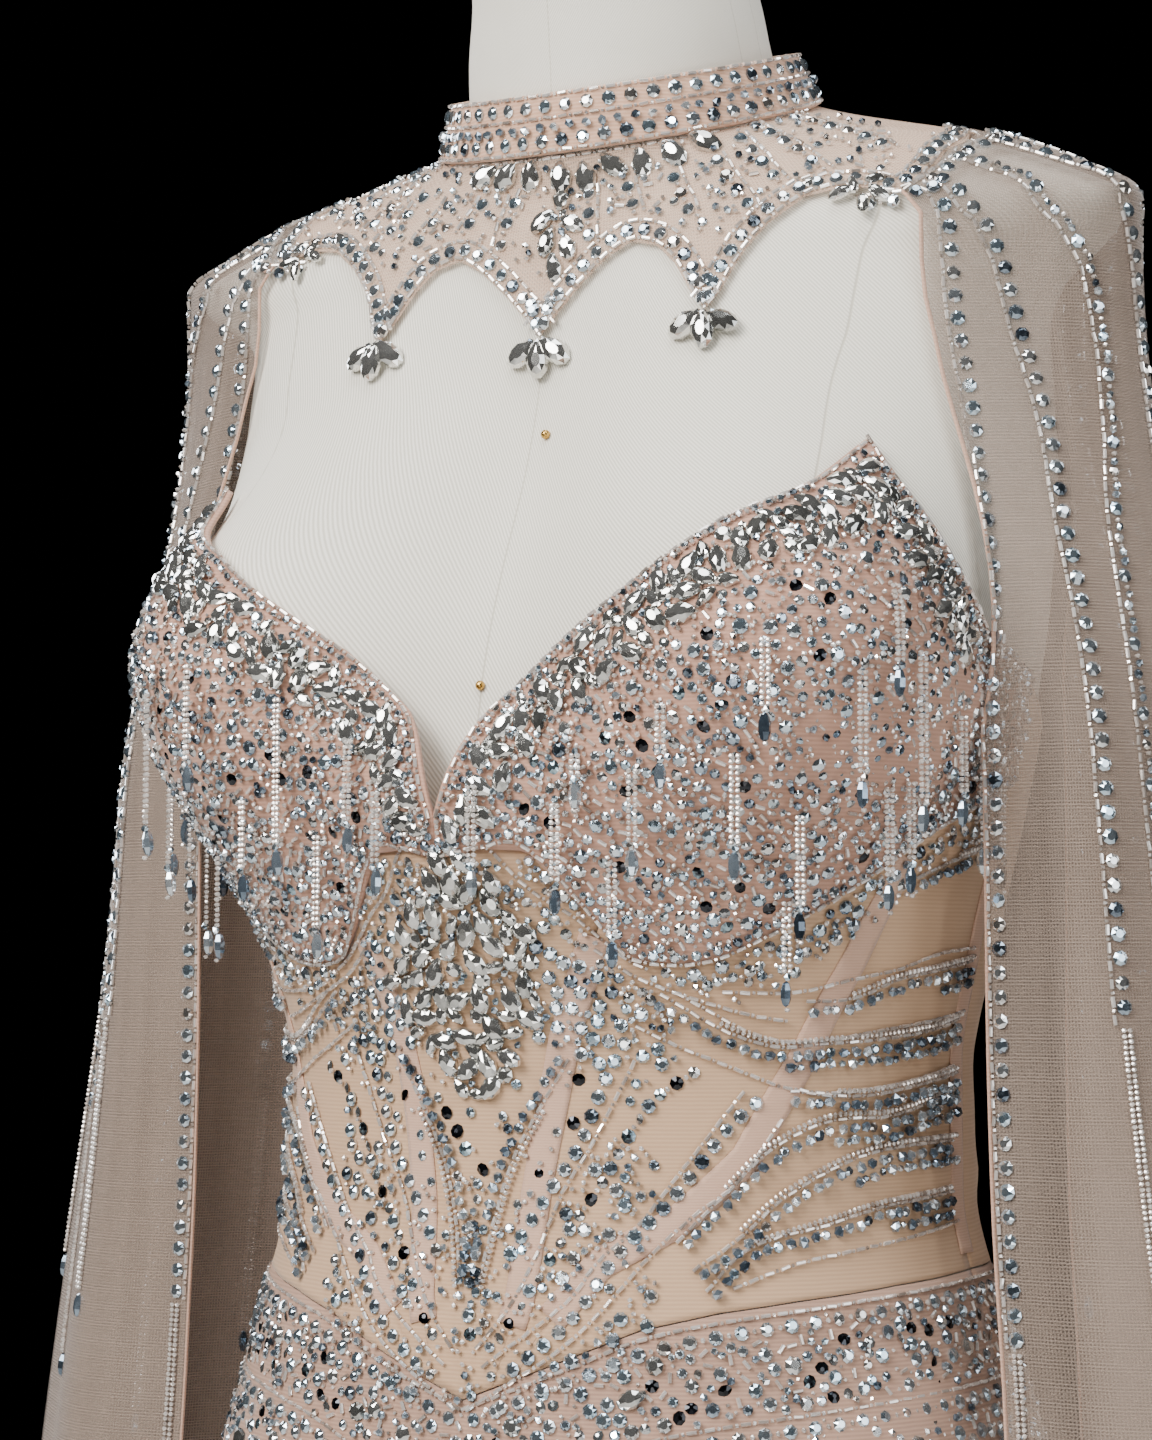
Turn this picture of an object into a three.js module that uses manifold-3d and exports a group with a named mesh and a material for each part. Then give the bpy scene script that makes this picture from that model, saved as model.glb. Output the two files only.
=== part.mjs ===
// Beaded evening gown with cape sleeves, worn by a limbless dress form on a round stand.
// Millimetres, +Z up, front towards -Y, the form's left side towards +X.
// The origin is the centre of the stand's underside, on the floor.
// Every cloth piece is a thin wall laid out on one body surface. A place on that surface is
// { turn, level }: turn is degrees round from the centre front towards the form's left,
// level is millimetres above the waist.
import * as THREE from 'three';
import Module from 'manifold-3d';

const wasm = await Module();
wasm.setup();

// Driving sizes
const WAIST_HEIGHT = 1060;
const SEAM_GAP = 0.5;
const SWEEP_SEAM_GAP = 1.0;
const FORM_GAP = 1.8;
const CUP_GAP = 2.8;
const MESH_WALL = 1.2;
const CUP_WALL = 2.0;
const CAPE_WALL = 1.0;
const CAPE_GAP = 2.6;
const SIDE_SEAM_TURN = 88;
const BACK_SEAM_TURN = 180;
const SHOULDER_TURN = 90;
const HEM_LEVEL = -1048;
const SKIRT_JOIN_LEVEL = -150;
const YOKE_TOP_LEVEL = 369;
const COLLAR_HEIGHT = 21;
const COLLAR_WALL = 2.0;
const COLLAR_GAP = 0.8;
const YOKE_GAP = 1.9;
const COLLAR_COLUMNS = 32;
const COLLAR_SLIT_TURN = 179;
const FORM_COLUMNS = 36;
const SKIRT_FLUTES = 8;
const FLUTE_DEPTH = 11;
const FLUTE_START = 520;
const FLUTE_SWAY = { turn: 20, waves: 3 };
const RAISED_STONE = 3.2;
const RAISED_SMALL = 1.2;
const YOKE_STONE = 2;
const CHANNEL_WIDTH = 10;
const CHANNEL_WALL = 1.0;
const CHANNEL_GAP = 0.7;
const SIDE_CHANNEL_TURN = 5;
const FRINGE_GAP = 0.6;
const STRAND_RADIUS = 1.3;
const DROP_RADIUS = 2.6;
const DROP_HEIGHT = 14;
const PEAR_LENGTH = 13;
const PEAR_RADIUS = 4.4;
const PEAR_HEIGHT = 3.6;
const PEAR_TABLE = 0.6;
const PEAR_BELLY = 0.6;
const DROP_GAP = 1.9;
const DROP_BELOW = 0.2;
const STAND_RADIUS = 150;
const STAND_RIM = 8;
const STAND_CROWN = 16;
const HUB_RADIUS = 30;
const HUB_HEIGHT = 34;
const POLE_RADIUS = 16;
const PART_GAP = 0.3;

const radians = THREE.MathUtils.degToRad;
const lerp = THREE.MathUtils.lerp;

function rowsOf(names, rows) {
  return rows.map((row) => Object.fromEntries(names.map((name, i) => [name, row[i]])));
}

// Level sections of the dress form: half width, reach to the front and back, forward shift of
// the centre, roundness (2 is an ellipse) and tilt, the rise of a section per mm towards the back
const SECTION = ['level', 'half', 'front', 'back', 'shift', 'round', 'tilt'];
const FORM_SECTIONS = rowsOf(SECTION, [
  [-250, 160, 112, 124, 0, 2.3, 0],
  [-200, 162, 115, 128, 0, 2.3, 0],
  [-150, 156, 118, 122, 0, 2.25, 0],
  [-100, 143, 120, 108, 0, 2.2, 0],
  [-50, 130, 117, 94, 0, 2.1, 0],
  [0, 118, 108, 84, 0, 2.1, 0],
  [40, 118, 105, 86, 0, 2.1, 0],
  [80, 125, 107, 94, 0, 2.15, 0],
  [120, 134, 110, 102, 0, 2.2, 0],
  [160, 141, 99, 108, 0, 2.3, 0],
  [200, 145, 85, 112, 0, 2.5, 0],
  [240, 146, 72, 112, 0, 2.8, 0],
  [270, 145, 67, 108, 0, 2.9, 0],
  [292, 147, 66, 100, 0, 2.6, 0],
  [306, 157, 65, 92, 0, 2.2, 0],
  [318, 177, 64, 84, 0, 1.9, 0.03],
  [327, 183, 63, 78, 0, 1.75, 0.07],
  [336, 168, 61, 73, 0, 1.65, 0.12],
  [345, 148, 59, 68, 0, 1.6, 0.18],
  [354, 122, 58, 64, 0, 1.6, 0.25],
  [362, 90, 57, 59, -1, 1.7, 0.31],
  [368, 66, 55, 55, -2, 1.85, 0.35],
  [374, 58, 54, 53, -4, 1.95, 0.37],
  [382, 55.5, 53, 52, -7, 2, 0.38],
  [392, 54, 52, 51, -10, 2, 0.38],
  [404, 53, 50, 50, -13, 2, 0.38],
  [430, 49, 48, 49, -18, 2, 0.38],
  [462, 48, 47, 48, -26, 2, 0.38],
]);
const SKIRT_SECTIONS = rowsOf(SECTION, [
  [-1050, 238, 212, 250, 0, 2.05, 0],
  [-1000, 228, 202, 236, 0, 2.05, 0],
  [-900, 206, 180, 206, 0, 2.1, 0],
  [-800, 184, 158, 176, 0, 2.1, 0],
  [-700, 166, 140, 153, 0, 2.15, 0],
  [-600, 157, 129, 138, 0, 2.2, 0],
  [-500, 155, 124, 132, 0, 2.2, 0],
  [-400, 159, 121, 132, 0, 2.25, 0],
  [-300, 165, 119, 133, 0, 2.3, 0],
  [-220, 166, 117, 130, 0, 2.3, 0],
]);
const COLLAR_SECTIONS = rowsOf(SECTION, [
  [YOKE_TOP_LEVEL - 4, 70, 62, 58, 0, 2, 0.35],
  [YOKE_TOP_LEVEL, 68, 61, 57, -1, 2, 0.355],
  [YOKE_TOP_LEVEL + COLLAR_HEIGHT, 60.5, 57, 54, -6.5, 2, 0.33],
  [YOKE_TOP_LEVEL + COLLAR_HEIGHT + 6, 59, 56, 53, -8, 2, 0.33],
]);
// The bust is a pair of soft mounds on those sections
const BUST = { turn: 40, level: 183, height: 58, spread: 19, above: 51, below: 47 };
// The bodice bridges from cup to cup, so it stands off the form at the centre front
const BRIDGE = { level: 128, height: 21, spread: 12, above: 30, below: 48 };

function bell(distance, spread) {
  return Math.exp(-0.5 * (distance / spread) ** 2);
}

function smoothCurve(rows) {
  const names = Object.keys(rows[0]).filter((name) => name !== 'level');
  const step = rows.slice(1).map((row, i) => row.level - rows[i].level);
  const slopes = {};
  for (const name of names) {
    const rise = step.map((length, i) => (rows[i + 1][name] - rows[i][name]) / length);
    slopes[name] = rows.map((row, i) => {
      if (i === 0) return rise[0];
      if (i === rows.length - 1) return rise[i - 1];
      if (rise[i - 1] * rise[i] <= 0) return 0;
      const near = 2 * step[i] + step[i - 1];
      const far = step[i] + 2 * step[i - 1];
      return (near + far) / (near / rise[i - 1] + far / rise[i]);
    });
  }
  return (level) => {
    let i = rows.findIndex((row) => row.level > level) - 1;
    if (i < 0) i = level < rows[0].level ? 0 : rows.length - 2;
    const t = THREE.MathUtils.clamp((level - rows[i].level) / step[i], 0, 1);
    const values = {};
    for (const name of names) {
      const start = (1 + 2 * t) * (1 - t) ** 2 * rows[i][name];
      const end = t * t * (3 - 2 * t) * rows[i + 1][name];
      const leave = t * (1 - t) ** 2 * step[i] * slopes[name][i];
      const arrive = t * t * (t - 1) * step[i] * slopes[name][i + 1];
      values[name] = start + end + leave + arrive;
    }
    return values;
  };
}

function bustHeight(turn, level) {
  const rise = level > BUST.level ? BUST.above : BUST.below;
  let height = 0;
  for (const side of [-1, 1]) {
    const round = ((turn - side * BUST.turn + 540) % 360) - 180;
    height += BUST.height * bell(round, BUST.spread) * bell(level - BUST.level, rise);
  }
  return height;
}

function bodySurface(rows, extra) {
  const sectionAt = smoothCurve(rows);
  return ({ turn, level }) => {
    const section = sectionAt(level);
    const side = Math.sin(radians(turn));
    const ahead = Math.cos(radians(turn));
    const depth = ahead > 0 ? section.front : section.back;
    const sideTerm = Math.abs(side / section.half) ** section.round;
    const depthTerm = Math.abs(ahead / depth) ** section.round;
    const radius = (sideTerm + depthTerm) ** (-1 / section.round) + extra(turn, level);
    const y = -radius * ahead + section.shift;
    return new THREE.Vector3(radius * side, y, WAIST_HEIGHT + level + section.tilt * y);
  };
}

function fluteDepth(turn, level) {
  const fall = THREE.MathUtils.smoothstep(-level, FLUTE_START, -HEM_LEVEL);
  const sway = FLUTE_SWAY.turn * Math.sin(radians(FLUTE_SWAY.waves * turn));
  return FLUTE_DEPTH * fall * Math.cos(radians(SKIRT_FLUTES * turn + sway));
}

const formSurface = bodySurface(FORM_SECTIONS, bustHeight);
const gownRows = [...SKIRT_SECTIONS, ...FORM_SECTIONS.filter((row) => row.level >= SKIRT_JOIN_LEVEL)];
const gownSurface = bodySurface(
  gownRows, (turn, level) => bustHeight(turn, level) + fluteDepth(turn, level));
const collarSurface = bodySurface(COLLAR_SECTIONS, () => 0);

function surfaceNormal(surface, place) {
  const { turn, level } = place;
  const across = surface({ turn: turn + 0.2, level }).sub(surface({ turn: turn - 0.2, level }));
  const up = surface({ turn, level: level + 0.4 }).sub(surface({ turn, level: level - 0.4 }));
  return across.cross(up).normalize();
}

function standOff(surface, place, distance) {
  return surface(place).addScaledVector(surfaceNormal(surface, place), distance);
}

function bridgeLift({ turn, level }) {
  const run = level > BRIDGE.level ? BRIDGE.above : BRIDGE.below;
  return BRIDGE.height * bell(turn, BRIDGE.spread) * bell(level - BRIDGE.level, run);
}

// A run of places through the given stops, straight in turn and level between stops
function trace(stops, steps) {
  const places = [{ turn: stops[0][0], level: stops[0][1] }];
  stops.slice(1).forEach((stop, i) => {
    const count = Array.isArray(steps) ? steps[i] : steps;
    for (let k = 1; k <= count; k++) {
      places.push({
        turn: lerp(stops[i][0], stop[0], k / count),
        level: lerp(stops[i][1], stop[1], k / count),
      });
    }
  });
  return places;
}

function mirrored(places) {
  return places.map(({ turn, level }) => ({ turn: -turn, level })).reverse();
}

function mirroredInPlace(places) {
  return places.map(({ turn, level }) => ({ turn: -turn, level }));
}

// Fills the four sided field between a bottom, top, left and right run of places
function fillField({ bottom, top, left, right }) {
  const columns = bottom.length - 1;
  const rows = left.length - 1;
  const grid = [];
  for (let r = 0; r <= rows; r++) {
    const v = r / rows;
    grid.push(bottom.map((_, c) => {
      const u = c / columns;
      const place = {};
      for (const key of ['turn', 'level']) {
        const upright = (1 - v) * bottom[c][key] + v * top[c][key];
        const across = (1 - u) * left[r][key] + u * right[r][key];
        const low = (1 - u) * bottom[0][key] + u * bottom[columns][key];
        const high = (1 - u) * top[0][key] + u * top[columns][key];
        place[key] = upright + across - (1 - v) * low - v * high;
      }
      return place;
    }));
  }
  return grid;
}

// Draws the outer rows and columns of a point grid inwards, so that panels part at their seams
function drawIn(points, distance) {
  const last = points.length - 1;
  const end = points[0].length - 1;
  const moved = points.map((row) => row.map((point) => point.clone()));
  const pull = (r, c, inward, before, after) => {
    const along = points[after[0]][after[1]].clone().sub(points[before[0]][before[1]]).normalize();
    const way = points[inward[0]][inward[1]].clone().sub(points[r][c]);
    way.addScaledVector(along, -way.dot(along));
    const reach = Math.min(distance, way.length() / 3);
    moved[r][c].addScaledVector(way.normalize(), reach);
  };
  for (let c = 0; c <= end; c++) {
    const [before, after] = [Math.max(c - 1, 0), Math.min(c + 1, end)];
    pull(0, c, [1, c], [0, before], [0, after]);
    pull(last, c, [last - 1, c], [last, before], [last, after]);
  }
  for (let r = 0; r <= last; r++) {
    const [before, after] = [Math.max(r - 1, 0), Math.min(r + 1, last)];
    pull(r, 0, [r, 1], [before, 0], [after, 0]);
    pull(r, end, [r, end - 1], [before, end], [after, end]);
  }
  return moved;
}

function solidFrom(points, faces) {
  const geometry = new THREE.BufferGeometry();
  const flat = points.flatMap((point) => [point.x, point.y, point.z]);
  geometry.setAttribute('position', new THREE.Float32BufferAttribute(flat, 3));
  geometry.setIndex(faces.flat());
  return geometry;
}

// A closed wall between an outer and an inner grid of points, outer[row][column]
function wallBetween(outer, inner) {
  const rows = outer.length;
  const columns = outer[0].length;
  const at = (r, c) => r * columns + c;
  const under = (index) => index + rows * columns;
  const faces = [];
  for (let r = 0; r < rows - 1; r++) {
    for (let c = 0; c < columns - 1; c++) {
      const quad = [at(r, c), at(r, c + 1), at(r + 1, c + 1), at(r + 1, c)];
      faces.push([quad[0], quad[1], quad[2]], [quad[0], quad[2], quad[3]]);
      faces.push([under(quad[0]), under(quad[2]), under(quad[1])]);
      faces.push([under(quad[0]), under(quad[3]), under(quad[2])]);
    }
  }
  const rim = [];
  for (let c = 0; c < columns - 1; c++) rim.push(at(0, c));
  for (let r = 0; r < rows - 1; r++) rim.push(at(r, columns - 1));
  for (let c = columns - 1; c > 0; c--) rim.push(at(rows - 1, c));
  for (let r = rows - 1; r > 0; r--) rim.push(at(r, 0));
  rim.forEach((a, i) => {
    const b = rim[(i + 1) % rim.length];
    faces.push([b, a, under(a)], [b, under(a), under(b)]);
  });
  return solidFrom([...outer.flat(), ...inner.flat()], faces);
}

// A cloth panel on a surface: a plain inside at the gap, and an outside raised by relief(row, column)
function clothPanel(surface, field, cloth) {
  const { gap, wall, lift = () => 0, relief = () => 0, seam = SEAM_GAP } = cloth;
  const grid = fillField(field);
  const inner = grid.map((row) => row.map(
    (place) => standOff(surface, place, gap + lift(place))));
  const outer = grid.map((row, r) => row.map((place, c) => {
    const edge = r === 0 || c === 0 || r === grid.length - 1 || c === row.length - 1;
    const raised = edge ? 0 : relief(r, c);
    return standOff(surface, place, gap + lift(place) + wall + raised);
  }));
  return wallBetween(drawIn(outer, seam / 2), drawIn(inner, seam / 2));
}

// A closed tube of rings, each an array of points running round, with flat fans at both ends
function closedTube(rings) {
  const count = rings[0].length;
  const points = rings.flat();
  const faces = [];
  for (let r = 0; r < rings.length - 1; r++) {
    for (let c = 0; c < count; c++) {
      const next = (c + 1) % count;
      const a = r * count + c;
      const b = r * count + next;
      faces.push([a, b, b + count], [a, b + count, a + count]);
    }
  }
  const middle = (ring) => ring.reduce((sum, point) => sum.add(point), new THREE.Vector3())
    .divideScalar(count);
  const low = points.push(middle(rings[0])) - 1;
  const high = points.push(middle(rings[rings.length - 1])) - 1;
  const top = (rings.length - 1) * count;
  for (let c = 0; c < count; c++) {
    const next = (c + 1) % count;
    faces.push([low, next, c], [high, top + c, top + next]);
  }
  return solidFrom(points, faces);
}

function joined(geometries) {
  const solids = geometries.map((geometry) => new wasm.Manifold(new wasm.Mesh({
    numProp: 3,
    vertProperties: new Float32Array(geometry.getAttribute('position').array),
    triVerts: new Uint32Array(geometry.getIndex().array),
  })));
  const mesh = solids.reduce((sum, solid) => sum.add(solid)).getMesh();
  const geometry = new THREE.BufferGeometry();
  geometry.setAttribute('position', new THREE.Float32BufferAttribute(mesh.vertProperties, 3));
  geometry.setIndex(Array.from(mesh.triVerts));
  return geometry;
}

const gown = new THREE.Group();
const FINISHES = {
  form_cover: { color: 0xdcdad2, roughness: 0.85, metalness: 0 },
  stand_metal: { color: 0x2b2b2d, roughness: 0.4, metalness: 0.7 },
  cap_wood: { color: 0xb98d5e, roughness: 0.5, metalness: 0 },
  yoke_mesh: { color: 0xd9b8a0, roughness: 0.8, metalness: 0 },
  cup_mesh: { color: 0xc99f8c, roughness: 0.7, metalness: 0.1 },
  bodice_mesh: { color: 0xc9ac8b, roughness: 0.8, metalness: 0 },
  skirt_mesh: { color: 0xbfa08c, roughness: 0.7, metalness: 0.1 },
  channel_tape: { color: 0xd3b0a3, roughness: 0.75, metalness: 0 },
  cape_tulle: { color: 0x8f8178, roughness: 0.9, metalness: 0 },
  stones: { color: 0xc6ccd2, roughness: 0.12, metalness: 0.6 },
};

function addPiece(name, finish, geometry) {
  const mesh = new THREE.Mesh(geometry, new THREE.MeshStandardMaterial(FINISHES[finish]));
  mesh.name = name;
  gown.add(mesh);
}

// Stand: a round foot with a low hub, and a pole up to the form's underside
const formBottom = FORM_SECTIONS[0].level;
const poleTop = WAIST_HEIGHT + formBottom - PART_GAP;

function upright(geometry) {
  return geometry.rotateX(Math.PI / 2);
}

function addStand() {
  const hub = STAND_CROWN + HUB_HEIGHT;
  const profile = [
    [0, 0], [STAND_RADIUS, 0], [STAND_RADIUS, STAND_RIM], [STAND_RADIUS - 14, STAND_CROWN - 4],
    [HUB_RADIUS + 12, STAND_CROWN], [HUB_RADIUS, STAND_CROWN + 6], [HUB_RADIUS - 4, hub], [0, hub],
  ].map(([radius, height]) => new THREE.Vector2(radius, height));
  addPiece('stand_foot', 'stand_metal', upright(new THREE.LatheGeometry(profile, 32)));
  const length = poleTop - hub - PART_GAP;
  const pole = upright(new THREE.CylinderGeometry(POLE_RADIUS, POLE_RADIUS, length, 16));
  pole.translate(0, 0, hub + PART_GAP + length / 2);
  addPiece('stand_pole', 'stand_metal', pole);
}

// Dress form: one smooth closed body with its neck, and a plain cap on the neck
const FORM_LEVELS = [-250, -215, -175, -135, -100, -70, -42, -18, 4, 26, 50, 78, 105, 128, 148, 166,
  184, 202, 221, 242, 264, 284, 299, 309, 318, 327, 336, 346, 355, 362, 368, 375, 386, 404, 432, 462];
const CAP_SHAPE = rowsOf(['rise', 'share'], [[0.4, 1.02], [6, 1.02], [11, 0.7]]);

function ringAt(place, share, rise) {
  const points = [];
  for (let c = 0; c < FORM_COLUMNS; c++) {
    points.push(formSurface({ turn: (360 * c) / FORM_COLUMNS, level: place }));
  }
  const centre = points.reduce((sum, point) => sum.add(point), new THREE.Vector3())
    .divideScalar(FORM_COLUMNS);
  return points.map((point) => {
    const moved = centre.clone().lerp(point, share);
    moved.z += rise;
    return moved;
  });
}

function addForm() {
  addPiece('form_torso', 'form_cover', closedTube(FORM_LEVELS.map((level) => ringAt(level, 1, 0))));
  const neckTop = FORM_LEVELS[FORM_LEVELS.length - 1];
  const cap = CAP_SHAPE.map(({ rise, share }) => ringAt(neckTop, share, rise));
  addPiece('neck_cap', 'cap_wood', closedTube(cap));
}

// Seams of the bodice and skirt on the form's left half, as [turn, level] stops
const CUP_BASE_SIDE = 134;
const ARMPIT_LEVEL = 170;
const HIP_LEVEL_BACK = -27;
const CUP_BASE = [[0, 111], [8, 114], [14, 113], [22, 88], [27, 76], [37, 75], [46, 84], [55, 97],
  [66, 115], [76, 125], [SIDE_SEAM_TURN, CUP_BASE_SIDE]];
const CUP_BASE_STEPS = [2, 1, 2, 1, 2, 2, 1, 2, 3, 5];
const NECKLINE = [[0, 122], [5, 137], [10, 153], [19, 174], [27, 189], [37, 207], [48, 220], [58.5, 238]];
const NECKLINE_STEPS = [1, 1, 2, 2, 2, 2, 2];
const CUP_SIDE = [[58.5, 238], [60, 222], [65, 198], [71, 180], [SIDE_SEAM_TURN, ARMPIT_LEVEL]];
const CUP_SIDE_STEPS = [1, 1, 2, 5];
const FRONT_SEAM = [[5, -58.8], [8.8, -32], [10.5, 0], [12, 17], [15.5, 50], [22, 88]];
const FRONT_SEAM_STEPS = [2, 2, 2, 2, 3];
const SWEEP_SEAM = [[8.5, -56], [12, -42], [21.5, -20], [33.5, -7], [44, 12], [53.7, 45], [60, 76],
  [66, 115]];
const SWEEP_SEAM_STEPS = [1, 2, 1, 1, 2, 2, 2];
const SIDE_ROW_EASE = 1.4;
const HIP_SEAM = [[0, -63], [15.5, -50], [27.5, -40], [39, -35], [51, -32], [68, -29],
  [SIDE_SEAM_TURN, HIP_LEVEL_BACK]];
const BACK_TOP = [[SIDE_SEAM_TURN, ARMPIT_LEVEL], [110, 150], [140, 127], [BACK_SEAM_TURN, 116]];
const BACK_ROWS = 10;

function hipSeamLevel(turn) {
  const next = HIP_SEAM.findIndex((stop) => stop[0] >= turn);
  const [a, b] = [HIP_SEAM[Math.max(next - 1, 0)], HIP_SEAM[next]];
  return a === b ? a[1] : lerp(a[1], b[1], (turn - a[0]) / (b[0] - a[0]));
}

const cupBase = trace(CUP_BASE, CUP_BASE_STEPS);
const frontTop = cupBase.slice(0, 6);
const midTop = cupBase.slice(5, 14);
const sideTop = cupBase.slice(13);
const frontSeam = trace(FRONT_SEAM, FRONT_SEAM_STEPS);
const sweepSeam = trace(SWEEP_SEAM, SWEEP_SEAM_STEPS);

function hipRun(from, to, steps) {
  return Array.from({ length: steps + 1 }, (_, i) => {
    const turn = lerp(from, to, i / steps);
    return { turn, level: hipSeamLevel(turn) };
  });
}

function resample(places, steps) {
  return Array.from({ length: steps + 1 }, (_, i) => {
    const at = (i / steps) * (places.length - 1);
    const k = Math.min(Math.floor(at), places.length - 2);
    return {
      turn: lerp(places[k].turn, places[k + 1].turn, at - k),
      level: lerp(places[k].level, places[k + 1].level, at - k),
    };
  });
}

function sideField() {
  const bottom = [{ turn: SWEEP_SEAM[0][0], level: SWEEP_SEAM[0][1] },
    ...trace(HIP_SEAM.slice(1), [1, 1, 1, 2, 2])];
  const rows = sweepSeam.length - 1;
  const right = sweepSeam.map((_, r) => ({
    turn: SIDE_SEAM_TURN,
    level: lerp(HIP_LEVEL_BACK, CUP_BASE_SIDE, (r / rows) ** SIDE_ROW_EASE),
  }));
  return { bottom, top: sideTop, left: sweepSeam, right };
}

function mirrorField({ bottom, top, left, right }) {
  return {
    bottom: mirrored(bottom), top: mirrored(top), left: mirroredInPlace(right),
    right: mirroredInPlace(left),
  };
}

function addBoth(name, finish, surface, field, cloth) {
  const turnedRelief = cloth.relief
    && ((r, c) => cloth.relief(r, field.bottom.length - 1 - c));
  addPiece(`${name}_left`, finish, clothPanel(surface, field, cloth));
  addPiece(`${name}_right`, finish,
    clothPanel(surface, mirrorField(field), { ...cloth, relief: turnedRelief }));
}

const cornerColumn = NECKLINE_STEPS.reduce((sum, n) => sum + n, 0);
const CUP_ROWS = 8;
const CLUSTER_ROWS = 5;

function cupRelief(r, c) {
  if (c > cornerColumn + 1) return 0;
  if (r === CUP_ROWS - 1) return c % 2 ? RAISED_STONE : RAISED_SMALL;
  return (r + c) % 2 ? RAISED_SMALL / 2 : 0;
}

function addBodice() {
  const lift = bridgeLift;
  const top = [...trace(NECKLINE, NECKLINE_STEPS), ...trace(CUP_SIDE, CUP_SIDE_STEPS).slice(1)];
  const cup = {
    bottom: cupBase,
    top,
    left: trace([CUP_BASE[0], NECKLINE[0]], CUP_ROWS),
    right: trace([[SIDE_SEAM_TURN, CUP_BASE_SIDE], [SIDE_SEAM_TURN, ARMPIT_LEVEL]], CUP_ROWS),
  };
  addBoth('cup', 'cup_mesh', gownSurface, cup,
    { gap: CUP_GAP, wall: CUP_WALL, lift, relief: cupRelief });

  const frontColumns = (frontTop.length - 1) * 2;
  const centre = {
    bottom: [...mirrored(hipRun(0, FRONT_SEAM[0][0], 5)), ...hipRun(0, FRONT_SEAM[0][0], 5).slice(1)],
    top: [...mirrored(frontTop), ...frontTop.slice(1)],
    left: mirroredInPlace(frontSeam),
    right: frontSeam,
  };
  const clusterRelief = (r, c) => {
    const inCluster = r >= frontSeam.length - CLUSTER_ROWS && c > 2 && c < frontColumns - 2;
    return inCluster ? ((r + c) % 2 ? RAISED_STONE : RAISED_SMALL) : 0;
  };
  const cloth = { gap: FORM_GAP, wall: MESH_WALL, lift };
  addPiece('centre_front', 'bodice_mesh',
    clothPanel(gownSurface, centre, { ...cloth, relief: clusterRelief }));

  const middle = {
    bottom: hipRun(FRONT_SEAM[0][0], SWEEP_SEAM[0][0], midTop.length - 1),
    top: midTop,
    left: resample(frontSeam, sweepSeam.length - 1),
    right: sweepSeam,
  };
  const side = sideField();
  const swept = { ...cloth, seam: SWEEP_SEAM_GAP };
  addBoth('middle_front', 'bodice_mesh', gownSurface, middle, swept);
  addBoth('side_front', 'bodice_mesh', gownSurface, side, swept);
  addChannels(fillField(centre), fillField(middle), fillField(side));

  const back = {
    bottom: trace([[SIDE_SEAM_TURN, HIP_LEVEL_BACK], [BACK_SEAM_TURN, HIP_LEVEL_BACK]], 9),
    top: trace(BACK_TOP, 3),
    left: trace([[SIDE_SEAM_TURN, HIP_LEVEL_BACK], BACK_TOP[0]], BACK_ROWS),
    right: trace([[BACK_SEAM_TURN, HIP_LEVEL_BACK], BACK_TOP[3]], BACK_ROWS),
  };
  addBoth('back_bodice', 'bodice_mesh', gownSurface, back, { gap: FORM_GAP, wall: MESH_WALL });
}

// Boning channels: narrow tapes laid over the seams, made from the panels' own points, moved out
function channelStrip(rows) {
  const base = FORM_GAP + MESH_WALL + CHANNEL_GAP;
  const grid = (distance) => rows.map((row) => {
    const [left, seam, right] = row.map(
      (place) => standOff(gownSurface, place, distance + bridgeLift(place)));
    const towards = (side) => {
      const way = side.clone().sub(seam);
      return seam.clone().addScaledVector(way, Math.min(1, CHANNEL_WIDTH / 2 / way.length()));
    };
    return [towards(left), seam, towards(right)];
  });
  return wallBetween(grid(base + CHANNEL_WALL), grid(base));
}

function addChannels(centre, middle, side) {
  const before = (grid) => grid.map((row) => row.slice(-2));
  const after = (grid) => grid.map((row) => row[1]);
  const between = (one, two) => before(one).map((pair, r) => [...pair, after(two)[r]]);
  const beyond = (seam) => ({ ...seam, turn: seam.turn + SIDE_CHANNEL_TURN });
  const sideRows = before(side).map(([near, seam]) => [near, seam, beyond(seam)]);
  const runs = {
    front_channel: between(centre, middle).slice(2, -1),
    sweep_channel: between(middle, side).slice(2, -1),
    side_channel: sideRows.slice(1, -1),
  };
  for (const [name, rows] of Object.entries(runs)) {
    addPiece(`${name}_left`, 'channel_tape', channelStrip(rows));
    addPiece(`${name}_right`, 'channel_tape', channelStrip(rows.map(mirrored)));
  }
}

// Skirt: front and two backs, close to the knee and fluted to the floor
const SKIRT_LEVELS = [HEM_LEVEL, -960, -870, -780, -690, -580, -460, -350, -260, -195, -145, -100, -62,
  HIP_LEVEL_BACK];

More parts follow.
